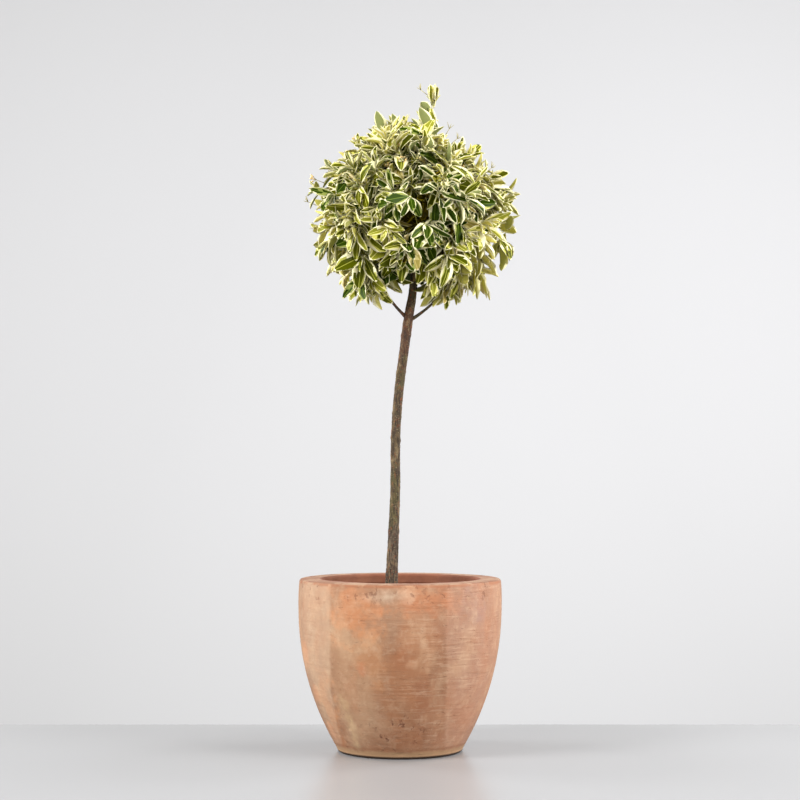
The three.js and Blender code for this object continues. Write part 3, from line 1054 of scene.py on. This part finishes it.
def leader_foot():
    """Where the upright shoot stands up from the head."""
    low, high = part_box("foliage_leader")
    return Vector((mix(low.x, high.x, 0.74), low.y * 0.2, low.z - 0.02))


def leader_shoots():
    """The upright shoot above the head, and the erect ones on the head's shoulder beside it."""
    foot = leader_foot()
    return [Shoot(foot + Vector(place), Vector(way), *kind, "upright") for place, way, *kind in LEADER_SHOOTS]


class Skeleton:
    """Joints of all limbs inside the crown. Each knows its parent, so that limbs thicken downwards."""

    def __init__(self):
        self.joints = []
        self.chains = []  # each limb as a list of joints from its parent to its tip

    def joint(self, point, way, parent, is_open=True, floor=0.0):
        """Adds a joint. No twig leaves from one that isn't open, and none is thinner than its floor."""
        path = 0.0
        if parent >= 0:
            path = (point - self.joints[parent].point).length + self.joints[parent].path
        self.joints.append(Joint(point, way, parent, path, is_open, floor))
        return len(self.joints) - 1

    def add_limb(self, line, radii, open_from):
        """A limb that has its own mesh; twigs grow on from its joints past open_from."""
        last = -1
        for i, point in enumerate(line):
            last = self.joint(point, heading(line, i), last, i / len(line) >= open_from, radii[i])

    def nearest(self, target):
        """The joint that a new limb to the target leaves from: near, behind it and not far from the root."""
        points, ways, _, paths, is_open, _ = zip(*self.joints)
        gap = np.array(tuple(target)) - np.array([tuple(p) for p in points])
        far = np.linalg.norm(gap, axis=1)
        facing = (gap * np.array([tuple(w) for w in ways])).sum(1) / np.maximum(far, 1e-9)
        cost = far * (1.35 - 0.55 * facing) + PATH_COST * np.array(paths)
        cost[~np.array(is_open) | (far < NEAREST_JOINT)] = np.inf
        return int(cost.argmin())

    def reach_for(self, target, way, rng, leafy=LEAFY_LENGTH):
        """Grows a limb from the best joint to the target, arriving along way."""
        start = self.nearest(target)
        p0 = self.joints[start].point
        length = (target - p0).length
        leave = (self.joints[start].way * 0.55 + (target - p0).normalized()).normalized()
        p1 = p0 + leave * length * 0.36
        p2 = target - way * min(length * 0.4, 0.05)
        steps = max(4, round(length / JOINT_STEP))
        wander = jitter(rng, WANDER)
        line = [p0]
        for i in range(1, steps + 1):
            t = i / steps
            point = p0 * (1 - t) ** 3 + p1 * 3 * t * (1 - t) ** 2 + p2 * 3 * t * t * (1 - t) + target * t**3
            line.append(point + wander * math.sin(math.pi * t) * math.sin(5 * t))
        chain = [start]
        for i in range(1, steps + 1):
            left = (target - line[i]).length
            chain.append(self.joint(line[i], heading(line, i), chain[-1], left > leafy))
        self.chains.append(chain)

    def radii(self):
        """Thickness of every joint: that of all it carries, put together."""
        parents = [joint.parent for joint in self.joints]
        load = [0.0] * len(parents)
        tips = set(range(len(parents))) - set(parents)
        for i in reversed(range(len(parents))):
            if i in tips:
                load[i] += TIP_RADIUS**PIPE_POWER
            if parents[i] >= 0:
                load[parents[i]] += load[i]
        return [max(v ** (1 / PIPE_POWER), joint.floor) for v, joint in zip(load, self.joints)]


def grow_crown(skeleton, leader, sprays, inner, rng):
    """A bough to each fork, nearest first, and from it the shoots that it bears; then the inner shoots."""

    def bear(shoots):
        for shoot in shoots:
            skeleton.reach_for(shoot.tip, shoot.way, rng)

    bear(leader)
    for fork, way, shoots in sorted(sprays, key=lambda s: (s[0] - CROWN_CENTRE).length):
        skeleton.reach_for(fork, (way + UP * 0.2).normalized(), rng, leafy=0.0)
        bear(shoots)
    bear(inner)


def twigs_of(skeleton):
    """All twigs as one piece, in green bark where the growth is young."""
    radii = skeleton.radii()
    points, edges, thickness = [], [], []
    for chain in skeleton.chains:
        first = len(points)
        points += [skeleton.joints[j].point for j in chain]
        thickness += [radii[j] for j in [chain[1], *chain[1:]]]
        edges += [(first + k, first + k + 1) for k in range(len(chain) - 1)]
    zone = [int(radius < TIP_RADIUS * YOUNG_TWIG) for radius in thickness]
    mesh = new_mesh("twig_chains", points, edges=edges, thickness=thickness, zone=zone)
    materials = {"Old": twig_bark(), "Young": green_bark()}
    return grown("twigs", mesh, limb_tree(materials), {"Sides": TWIG_SIDES, **materials})


# ---------------------------------------------------------------- leaves

LEAF_ZONES = ("Margin", "Feather", "Green", "Rib", "Back", "Back margin")
LEAF_ROUGHNESS = (0.5, 0.4, 0.3, 0.5, 0.7, 0.7)
LEAF_SPECULAR = 0.06
FULL_STRIPS = ("Margin", "Feather", "Green", "Rib", "Green", "Feather", "Margin")
SMALL_STRIPS = ("Margin", "Feather", "Green", "Green", "Feather", "Margin")
UNDER_STRIPS = ("Back margin", "Back", "Back", "Back margin")
FULL_ROWS = (0.0, 0.11, 0.28, 0.46, 0.64, 0.81, 0.94)
SMALL_ROWS = (0.0, 0.22, 0.52, 0.8, 0.94)
PETIOLE = 0.13  # share of the leaf's length
LEAF_THICKNESS = 0.006
LEAF_SEED = 42
LEAF_FORMS = {"mature": 12, "young": 14, "budding": 5}
RIB = 0.009
STALK = 0.015
VEIN_SLANT = 0.06  # how far towards the tip the side veins run
LEAF_KINDS = {
    # least and most of: breadth as a share of length, margin as a share of breadth, slopes of fold, curl and
    # wave, how far the widest place lies towards the tip, and how blunt the ends are
    "mature": ((0.185, 0.25), (0.15, 0.33), (0.05, 0.5), (0.0, 1.2), (0.05, 0.28), (0.9, 1.35), (0.62, 0.85)),
    "young": ((0.11, 0.17), (0.24, 0.5), (0.3, 1.3), (-0.3, 0.9), (0.05, 0.25), (1.4, 1.75), (0.75, 0.95)),
    "budding": ((0.13, 0.18), (0.4, 0.65), (0.6, 1.4), (-0.5, 0.4), (0.0, 0.1), (1.2, 1.5), (0.7, 0.9)),
}
TONES = {
    # margin, feather, green, rib, back, back margin
    # the backs are paler than the greens: partly the undersides' own colour, partly painted light shining
    # through the leaves
    "deep": ("EEEBCE", "909A54", "2C4204", "6A8032", "828B5A", "E0DEBA"),
    "mid": ("F0EDCC", "ACAE58", "4A5204", "A8AC4C", "A4A662", "E8E5BE"),
    "fresh": ("F0ECC8", "C2C264", "585E08", "C2C05C", "BCB860", "E9E5BC"),
    "pale": ("F2EED0", "E0DC8A", "8C902E", "E8E492", "DCD480", "ECE8CA"),
    "tan": ("EEE3C0", "D4C88A", "A89A54", "D2C48A", "C2B27C", "E4D8B2"),
    # olive: the leaf colours made dark for the shoots inside the crown, as painted shade
    "olive": ("968824", "5E5406", "3A3400", "605206", "504810", "827220"),
}
WARMER_RED = 3  # of 255, added to every tone
WARMER_BLUE = 0.945  # share of every tone's blue that is kept
YOUNGER = {"deep": "mid", "mid": "fresh", "fresh": "pale"}
OLDER = {"mid": "deep", "fresh": "mid", "pale": "fresh"}
TAN_LEAVES = 0.014
TAN_LEAVES_BELOW = 0.05
LEADER_LEAVES = (
    # place from the leader's foot, direction, side the upper face turns to, length, breadth, tone, kind, form
    ((-0.004, 0.0, 0.06), (-0.26, -0.06, 1.0), (0.7, -0.8, 0.1), 0.048, 1.3, "pale", "budding", 2),
    ((-0.002, 0.0, 0.062), (-0.06, 0.1, 1.0), (0.2, -1.0, 0.1), 0.044, 1.3, "fresh", "young", 10),
    ((-0.002, -0.001, 0.06), (-0.05, -0.1, 1.0), (0.2, -1.0, 0.1), 0.038, 1.1, "mid", "young", 12),
    ((0.0, 0.0, 0.062), (0.02, 0.04, 1.0), (-0.3, -0.9, 0.1), 0.045, 1.2, "tan", "young", 10),
    ((0.0, -0.001, 0.061), (0.12, -0.08, 1.0), (-0.3, -0.9, 0.1), 0.044, 1.3, "fresh", "young", 9),
    ((0.001, 0.0, 0.06), (0.22, 0.05, 1.0), (-0.8, -0.6, 0.1), 0.049, 1.3, "pale", "budding", 2),
    ((-0.006, -0.004, 0.05), (-0.7, -0.6, 0.7), (-0.3, 0.73, 0.3), 0.038, 1.2, "deep", "mature", 9),
    ((0.0, -0.018, -0.003), (-0.46, -0.08, 1.0), (0.3, 1.0, 0.1), 0.067, 0.95, "deep", "mature", 2),
    ((0.003, -0.012, 0.01), (-0.12, -0.05, 1.0), (0.0, -1.0, 0.1), 0.05, 1.0, "pale", "young", 10),
    ((0.004, -0.012, -0.004), (0.02, -0.05, 1.0), (0.6, -0.8, 0.1), 0.046, 1.0, "deep", "young", 12),
    ((-0.019, -0.084, -0.011), (-1.0, -0.2, 0.34), (0.3, -0.85, 0.5), 0.056, 1.0, "deep", "mature", 10),
    ((-0.1, -0.034, -0.006), (-0.26, -0.1, 1.0), (0.2, 1.0, 0.1), 0.055, 1.05, "deep", "mature", 2),
    ((-0.071, -0.034, 0.002), (-0.2, -0.1, 1.0), (0.2, 1.0, 0.1), 0.043, 0.9, "deep", "mature", 9),
    ((-0.008, -0.094, -0.052), (-0.1, 0.1, 1.0), (0.1, 1.0, 0.1), 0.042, 1.2, "deep", "mature", 2),
)


def leaf_form(name, rng, small, breadth, margin, fold, curl, wave, skew, blunt):
    """One leaf, a metre long along +Y with its upper side to +Z: closed, in a cream-edged pattern.

    Each row is a ring of points that goes over the upper side from left to right and back below.
    """
    twist = rng.uniform(-0.45, 0.45)
    bend = rng.uniform(-0.12, 0.12)
    phase = rng.uniform(0, math.tau)
    lopsided = [rng.uniform(0.7, 1.3), rng.uniform(0.7, 1.3)]

    def placed(across, along, lift):
        """Bends the flat blade: curls it down its length, twists it and swings it aside."""
        angle = curl * along**1.3
        y = math.sin(angle) / curl if abs(curl) > 1e-3 else along
        z = -(1 - math.cos(angle)) / curl if abs(curl) > 1e-3 else 0.0
        turn = twist * along
        x = across * math.cos(turn) - lift * math.sin(turn)
        up = across * math.sin(turn) + lift * math.cos(turn)
        return Vector((x + bend * along**2, y + up * math.sin(angle), z + up * math.cos(angle)))

    def half_ring(side, narrowing, half, along, forward, u):
        """One side of a ring: its upper points from the edge inwards, and the point below."""
        inner = max(RIB * 1.8, half * (1 - margin * narrowing * rng.uniform(0.45, 1.5)))
        middle = mix(RIB, inner, rng.uniform(0.35, 0.95))
        inner, middle = (half * 0.8, half * 0.7) if u <= 0 else (inner, middle)
        ripple = wave * math.sin(phase * (1.5 + side) + u * 9) * half
        over = [
            placed(side * half, along, fold * half + ripple),
            placed(side * inner, forward, fold * inner + LEAF_THICKNESS + ripple * 0.5),
            placed(side * middle, forward, fold * middle + LEAF_THICKNESS),
        ]
        if not small:
            over.append(placed(side * RIB, along, LEAF_THICKNESS * 0.3))
        return over, placed(side * inner * 0.9, along, fold * inner * 0.9 - LEAF_THICKNESS)

    def ring(along, u):
        """The stalk's ring where u is not above 0, else the blade's at share u of its length."""
        half = STALK if u <= 0 else breadth * math.sin(math.pi * u**skew) ** blunt
        forward = along + VEIN_SLANT * math.sin(math.pi * max(0.0, u))
        halves = [half_ring(side, n, half, along, forward, u) for side, n in zip((-1, 1), lopsided)]
        (left, left_below), (right, right_below) = halves
        rib = [placed(0, along, 0)] if small else []
        return left + rib + right[::-1] + [right_below, placed(0, along, -LEAF_THICKNESS * 2), left_below]

    blade = SMALL_ROWS if small else FULL_ROWS
    rows = [ring(0.0, -1)] + [ring(PETIOLE + (1 - PETIOLE) * u, u) for u in blade]
    sides = len(rows[0])
    tip = len(rows) * sides
    points = [p for row in rows for p in row] + [placed(0.0, 1.0, LEAF_THICKNESS * 0.5)]
    faces, zones = [tuple(range(sides))], ["Back margin"]
    over = SMALL_STRIPS if small else FULL_STRIPS
    for r in range(len(rows)):
        for s, strip in enumerate(over + UNDER_STRIPS):
            low = (r * sides + (s + 1) % sides, r * sides + s)
            faces.append((*low, tip) if r == len(rows) - 1 else (*low, low[1] + sides, low[0] + sides))
            if r == 0 or (r == len(rows) - 1 and s < len(over)):
                strip = "Margin"
            elif strip == "Feather" and rng.random() < 0.35:
                strip = rng.choice(("Margin", "Green", "Green"))
            elif strip == "Green" and rng.random() < (0.14 if small else 0.05):
                strip = "Feather"
            zones.append(strip)
    return form(name, points, faces, [LEAF_ZONES.index(zone) for zone in zones])


def leaf_forms():
    """Leaf shapes of all kinds, and the numbers of the shapes of each kind."""
    rng = random.Random(LEAF_SEED)
    forms = []
    numbers = {}
    for kind, measures in LEAF_KINDS.items():
        numbers[kind] = range(len(forms), len(forms) + LEAF_FORMS[kind])
        for i in numbers[kind]:
            values = [rng.uniform(*limits) for limits in measures]
            forms.append(leaf_form(f"leaf_{i:02d}", rng, kind != "mature", *values))
    return forms, numbers


def warmed(code):
    """A tone's hex code with a little more red and a little less blue."""
    red, green, blue = (int(code[i : i + 2], 16) for i in (0, 2, 4))
    return f"{min(255, red + WARMER_RED):02X}{green:02X}{round(blue * WARMER_BLUE):02X}"


def leaf_materials(tone):
    """Plain colours for the zones of the leaves of one tone."""
    made = {}
    for zone, code, roughness in zip(LEAF_ZONES, TONES[tone], LEAF_ROUGHNESS):
        name = f"leaf_{tone}_{zone.lower().replace(' ', '_')}"
        made[zone] = plain(name, warmed(code), roughness, LEAF_SPECULAR)
    return made


def leaf_turn(way, upper):
    """Euler turn that lays a leaf's +Y along way with its upper side to upper."""
    y = way.normalized()
    z = (upper - y * upper.dot(y)).normalized()
    return Matrix((y.cross(z), y, z)).transposed().to_euler()


def within_limits(point):
    """Whether a leaf's end keeps to the space about the CAD box that the leaves may fill."""
    low, high = cad_box
    return all(low[k] - LEAF_OVERHANG < point[k] < high[k] + LEAF_OVERHANG for k in (0, 1))


def tone_of_leaf(tone, share, low, rng):
    """The shoot's tone, or that of a younger leaf near the tip, an older one lower down, or a tan one."""
    if tone != "olive" and rng.random() < mix(TAN_LEAVES, TAN_LEAVES_BELOW, low):
        return "tan"
    if rng.random() < 0.45:
        return (YOUNGER if share < 0.45 else OLDER).get(tone, tone)
    return tone


def leaves_on(shoot, rng, numbers):
    """Tone, point, turn, size and form for each leaf of a shoot: a rosette of crosswise pairs at its tip."""
    leaves = []
    axis = shoot.way
    outwards = level(shoot.tip - CROWN_CENTRE)
    side = square_to(axis, rng)
    low = smoothstep(CROWN_CENTRE.z - shoot.tip.z, -0.02, 0.12)
    high = smoothstep(shoot.tip.z - CROWN_CENTRE.z, 0.03, 0.17)
    spacing = PAIR_SPACING
    back = 0.001
    for pair in range(shoot.pairs):
        share = pair / max(1, shoot.pairs - 1)
        base_angle = mix(3, 17, share) if shoot.upright else mix(12, mix(80, 54, high), share)
        grown_up = mix(0.7 if shoot.old else 0.58, 1.0, min(1.0, share * 1.8))
        for half in (1, -1):
            radial = (side * half + jitter(rng, 0.18)).normalized()
            angle = math.radians(base_angle + rng.gauss(0, 4 if shoot.upright else 11))
            way = axis * math.cos(angle) + radial * math.sin(angle)
            droop = 0.0 if shoot.upright else (0.06 + 0.5 * share) * (1 - 0.75 * high)
            way = (way - UP * (droop + 0.75 * low * share)).normalized()
            upper = (axis - way * axis.dot(way)).normalized() * 0.8 + UP * mix(0.45, 0.15, high)
            upper += outwards * (mix(0.45, 0.1, high) + 0.7 * low)
            upper = upper.normalized() + jitter(rng, 0.3)
            if abs(upper.normalized().dot(way)) > 0.96:
                upper = upper + radial * 0.5
            length = LEAF_LENGTH * shoot.size * grown_up * rng.uniform(0.8, 1.14) * mix(0.95, 1.2, low)
            size = (length * rng.uniform(0.85, 1.12), length, length)
            youth = mix(0.7, 0.25, low) * (0.6 if shoot.tone == "deep" else 1.0)
            is_young = not shoot.old and (share < 0.3 or rng.random() < youth)
            kind = "budding" if pair == 0 and not shoot.old else "young" if is_young else "mature"
            tone = shoot.tone
            if not (shoot.upright or shoot.old):
                tone = tone_of_leaf(tone, share, low, rng)
            number = rng.choice(numbers[kind])
            start = shoot.tip - axis * back
            if within_limits(start + way * length):
                leaves.append((tone, start, leaf_turn(way, upper), size, number))
        side.rotate(Quaternion(axis, math.pi / 2 + rng.gauss(0, 0.25)))
        back += spacing
        spacing *= SPACING_GROWTH
    return leaves


def leader_leaves(numbers):
    """Leaves of the leader and its foot: a cream tuft on top, broad ones that show their backs below."""
    leaves = []
    for start, way, upper, length, breadth, tone, kind, number in LEADER_LEAVES:
        turn = leaf_turn(Vector(way), Vector(upper))
        size = (length * breadth, length, length)
        leaves.append((tone, leader_foot() + Vector(start), turn, size, numbers[kind][number]))
    return leaves


def dress(shoots, rng):
    """All leaves, joined by tone."""
    forms, numbers = leaf_forms()
    leaves = [leaf for shoot in shoots for leaf in leaves_on(shoot, rng, numbers)] + leader_leaves(numbers)
    for tone in TONES:
        rows = [row for own, *row in leaves if own == tone]
        made = scattered(f"leaves_{tone}", rows, forms, leaf_materials(tone))
        piece(made, made.name, "leaves", *foliage)
    discard(forms)


# ---------------------------------------------------------------- buds

BUD_FORMS = 4
BUD_SHOOTS = 0.16  # share of outer shoots that carry a cluster of buds
BUDS_IN_CLUSTER = 7
BUD_STALK = 0.03
BUD_STALKS = (0.022, 0.034)
EDGE_BUDS = (
    # place from the crown's centre, direction, form: 0 and 1 in bud, 2 and 3 spent
    ((-0.17, -0.03, 0.046), (-1.0, -0.2, 0.35), 0),
    ((-0.106, -0.02, 0.09), (-0.8, -0.3, 0.7), 1),
    ((-0.096, -0.01, 0.116), (-0.7, -0.2, 0.9), 0),
    ((0.07, 0.0, 0.145), (0.5, -0.1, 1.0), 2),
    ((0.082, 0.01, 0.13), (0.9, -0.1, 1.0), 3),
    ((0.125, 0.0, 0.1), (0.5, -0.2, 1.0), 2),
    ((0.15, 0.0, 0.07), (0.8, -0.1, 0.8), 3),
    ((-0.188, 0.0, 0.006), (-0.9, 0.0, 0.5), 3),
    ((-0.172, 0.0, -0.044), (-1.0, 0.0, 0.3), 2),
    ((0.036, 0.0, 0.228), (-0.7, 0.0, 0.7), 3),
)


def rings_about(way, sides, *sections):
    """Rings of points square to a direction. A section is a centre and a radius."""
    aside = way.orthogonal().normalized()
    around_it = spokes(sides, aside, way.cross(aside))
    return [centre + spoke * radius for centre, radius in sections for spoke in around_it]


def ball(points, faces, centre, way, length, width, sides=6):
    """Adds a small closed egg shape to points and faces."""
    first = len(points)
    lower = (centre - way * length * 0.45, width * 0.86)
    upper = (centre + way * length * 0.35, width * 0.9)
    points += [centre - way * length, *rings_about(way, sides, lower, upper), centre + way * length]
    for s in range(sides):
        a = first + 1 + s
        b = first + 1 + (s + 1) % sides
        faces += [(first, b, a), (a, b, b + sides, a + sides), (a + sides, b + sides, first + 1 + 2 * sides)]


def stalk(points, faces, start, end, thick, sides=4):
    """Adds a thin closed stalk to points and faces."""
    faces += tube_faces(2, sides, len(points))
    points += rings_about((end - start).normalized(), sides, (start, thick), (end, thick * 0.7))


def bud_cluster(name, rng, buds):
    """A thin forking stalk along +Z, 1 long, with a small bud on each fork; none where it is spent."""
    points, faces, zones = [], [], []
    fork = Vector((rng.uniform(-0.1, 0.1), rng.uniform(-0.1, 0.1), 0.58))
    stalk(points, faces, Vector(), fork, 0.035)
    for i in range(BUDS_IN_CLUSTER):
        angle = i * 2.4 + rng.uniform(-0.3, 0.3)
        spread = rng.uniform(0.1, 0.34)
        end = Vector((math.cos(angle) * spread, math.sin(angle) * spread, rng.uniform(0.78, 1.0)))
        stalk(points, faces, fork, end, 0.022)
        zones += [0] * (len(faces) - len(zones))
        if buds:
            ball(points, faces, end, (end - fork).normalized(), 0.1, 0.075)
            zones += [1] * (len(faces) - len(zones))
    return form(name, points, faces, zones)


def bud_row(place, way, length, width, number):
    return place, way.to_track_quat("Z", "Y").to_euler(), (length * width, length * width, length), number


def bud_clusters(shoots, rng):
    """Flower buds and spent flower stalks among the outer leaves."""
    forms = [bud_cluster(f"buds_{i}", rng, buds=i < 2) for i in range(BUD_FORMS)]
    rows = []
    for shoot in shoots:
        if rng.random() <= BUD_SHOOTS:
            way = (shoot.way + jitter(rng, 0.3)).normalized()
            length = rng.uniform(*BUD_STALKS)
            rows.append(bud_row(shoot.tip - shoot.way * 0.004, way, length, 0.8, rng.randrange(BUD_FORMS)))
    for place, way, number in EDGE_BUDS:
        rows.append(bud_row(CROWN_CENTRE + Vector(place), Vector(way), BUD_STALK, 0.85, number))
    materials = {"Stalk": plain("bud_stalk", "A79C5A", 0.6), "Bud": plain("bud_skin", "E9C88A", 0.5)}
    buds = scattered("buds", rows, forms, materials)
    discard(forms)
    return buds


# ---------------------------------------------------------------- stage

FLOOR_BACK = 0.368  # behind the pot, where the floor ends
BACKDROP = 4.6  # far enough back that a camera behind the plant stands in front of it
CAMERA_DISTANCE = 3.8
CAMERA_HEIGHT = 0.5734
CAMERA_PITCH = math.radians(1.86)
CAMERA_LENS = 85.5


def stage():
    for name, code, roughness, corners in (
        ("floor", "969698", 0.3, ((-6, -6, 0), (6, -6, 0), (6, FLOOR_BACK, 0), (-6, FLOOR_BACK, 0))),
        ("backdrop", "E5E5EA", 0.95, [(x, BACKDROP, z) for x, z in ((-3, -1.5), (3, -1.5), (3, 4), (-3, 4))]),
    ):
        finish = plain(f"pale_{name}", code, roughness)
        linked(name, new_mesh(name, corners, [(0, 1, 2, 3)], material=finish))


def around(bearing, distance, height):
    """A place on a circle about the plant: 0 degrees is the front, 90 the right."""
    angle = math.radians(bearing)
    return (math.sin(angle) * distance, -math.cos(angle) * distance, height)


def lights():
    middle = (0, 0, 0.65)
    head = (0, 0, 1.1)
    for name, place, target, size, power in (
        ("rim_left", around(-112, 2.3, 1.9), head, (0.9, 1.2), 42),
        ("rim_right", around(112, 2.3, 1.9), head, (0.9, 1.2), 42),
        ("key", around(-58, 3.2, 2.2), middle, (1.4, 1.6), 160),
        ("fill", around(60, 3.3, 1.6), middle, (1.6, 1.6), 114),
        ("front", (0.5, -3.5, 0.9), (0, 0, 1.0), (1.6, 1.0), 10),
        ("top", (1.5, -0.5, 2.7), (0.9, -0.2, 0.0), (1.4, 1.4), 36),
        ("wash_left", (-2.6, 1.6, 1.4), (-0.5, BACKDROP, 1.1), (1.5, 3.2), 18),
        ("wash_right", (2.6, 1.6, 1.4), (0.7, BACKDROP, 1.1), (1.5, 3.2), 41),
    ):
        data = bpy.data.lights.new(name, "AREA")
        data.shape = "RECTANGLE"
        data.size, data.size_y = size
        data.energy = power
        light = linked(name, data)
        light.location = place
        light.rotation_euler = (Vector(target) - Vector(place)).to_track_quat("-Z", "Y").to_euler()
    world = bpy.data.worlds.new("studio")
    world.use_nodes = True
    background = world.node_tree.nodes["Background"].inputs
    background["Color"].default_value = (1, 0.99, 0.86, 1)
    background["Strength"].default_value = 0.3
    bpy.context.scene.world = world
    bpy.context.scene.view_settings.view_transform = "Standard"


def camera():
    data = bpy.data.cameras.new("camera")
    data.lens = CAMERA_LENS
    data.sensor_width = 36
    cam = linked("camera", data)
    cam.location = (0, -CAMERA_DISTANCE, CAMERA_HEIGHT)
    cam.rotation_euler = (math.pi / 2 + CAMERA_PITCH, 0, 0)
    bpy.context.scene.camera = cam


# ---------------------------------------------------------------- putting it together


def piece(obj_or_mesh, name, slot, *nodes):
    """Names a finished piece, lets it ride on the body and stand for its CAD nodes."""
    obj = obj_or_mesh
    if isinstance(obj, bpy.types.Mesh):
        obj = linked(name, obj)
    obj.name = name
    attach(obj, "root")
    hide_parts(*nodes)


def pot_and_compost():
    piece(pot_mesh(terracotta()), "clay_pot", "terracotta", "pot")
    piece(compost_mesh(damp_compost()), "compost_top", "compost", "compost")
    rng = random.Random(SEED + 9)
    chips = strewn("bark_chips", rng, CHIP_COUNT, chip_bark(), CHIP_BREADTH, CHIP_FLATNESS)
    piece(chips, "bark_chips", "compost", "compost")
    grit = strewn("grit", rng, GRIT_COUNT, pale_grit(), GRIT_BREADTH, GRIT_FLATNESS)
    piece(grit, "grit", "compost", "compost")


def stem_and_boughs(skeleton):
    wood = bark()
    line, radii = evenly(*level_sections("stem"), STEM_STEP)
    scars = knots(line[-1].z - line[0].z, SEED + 1)
    stem = barked_limb("stem_bark", line, radii, STEM_SIDES, wood, scars, upright=True, lobes=FLARE)
    piece(stem, "stem_bark", "bark", "stem")
    inside = [i for i, p in enumerate(line) if p.z > STEM_INTO_CROWN][::5]
    skeleton.add_limb([line[i] for i in inside], [radii[i] for i in inside], open_from=0.2)
    for name, outwards in (("bough_left", -1), ("bough_right", 1)):
        line, radii = bough_line(name, outwards)
        piece(barked_limb(name, line, radii, BOUGH_SIDES, wood), name + "_bark", "bark", name)
        skeleton.add_limb(line[::6], radii[::6], open_from=0.5)


def build():
    rng = random.Random(SEED)
    stage()
    lights()
    camera()
    pot_and_compost()
    skeleton = Skeleton()
    stem_and_boughs(skeleton)
    surface = crown_surface()
    leader = leader_shoots()
    old = old_shoots(surface)
    sprays = sprays_of_crown(rng, surface)
    inner = inner_shoots(rng, surface)
    grow_crown(skeleton, leader, sprays, inner + old, rng)
    piece(twigs_of(skeleton), "twigs", "bark", *foliage)
    outer = [shoot for *_, shoots in sprays for shoot in shoots]
    dress(leader + inner + old + outer, rng)
    piece(bud_clusters(outer, rng), "buds", "leaves", *foliage)


build()
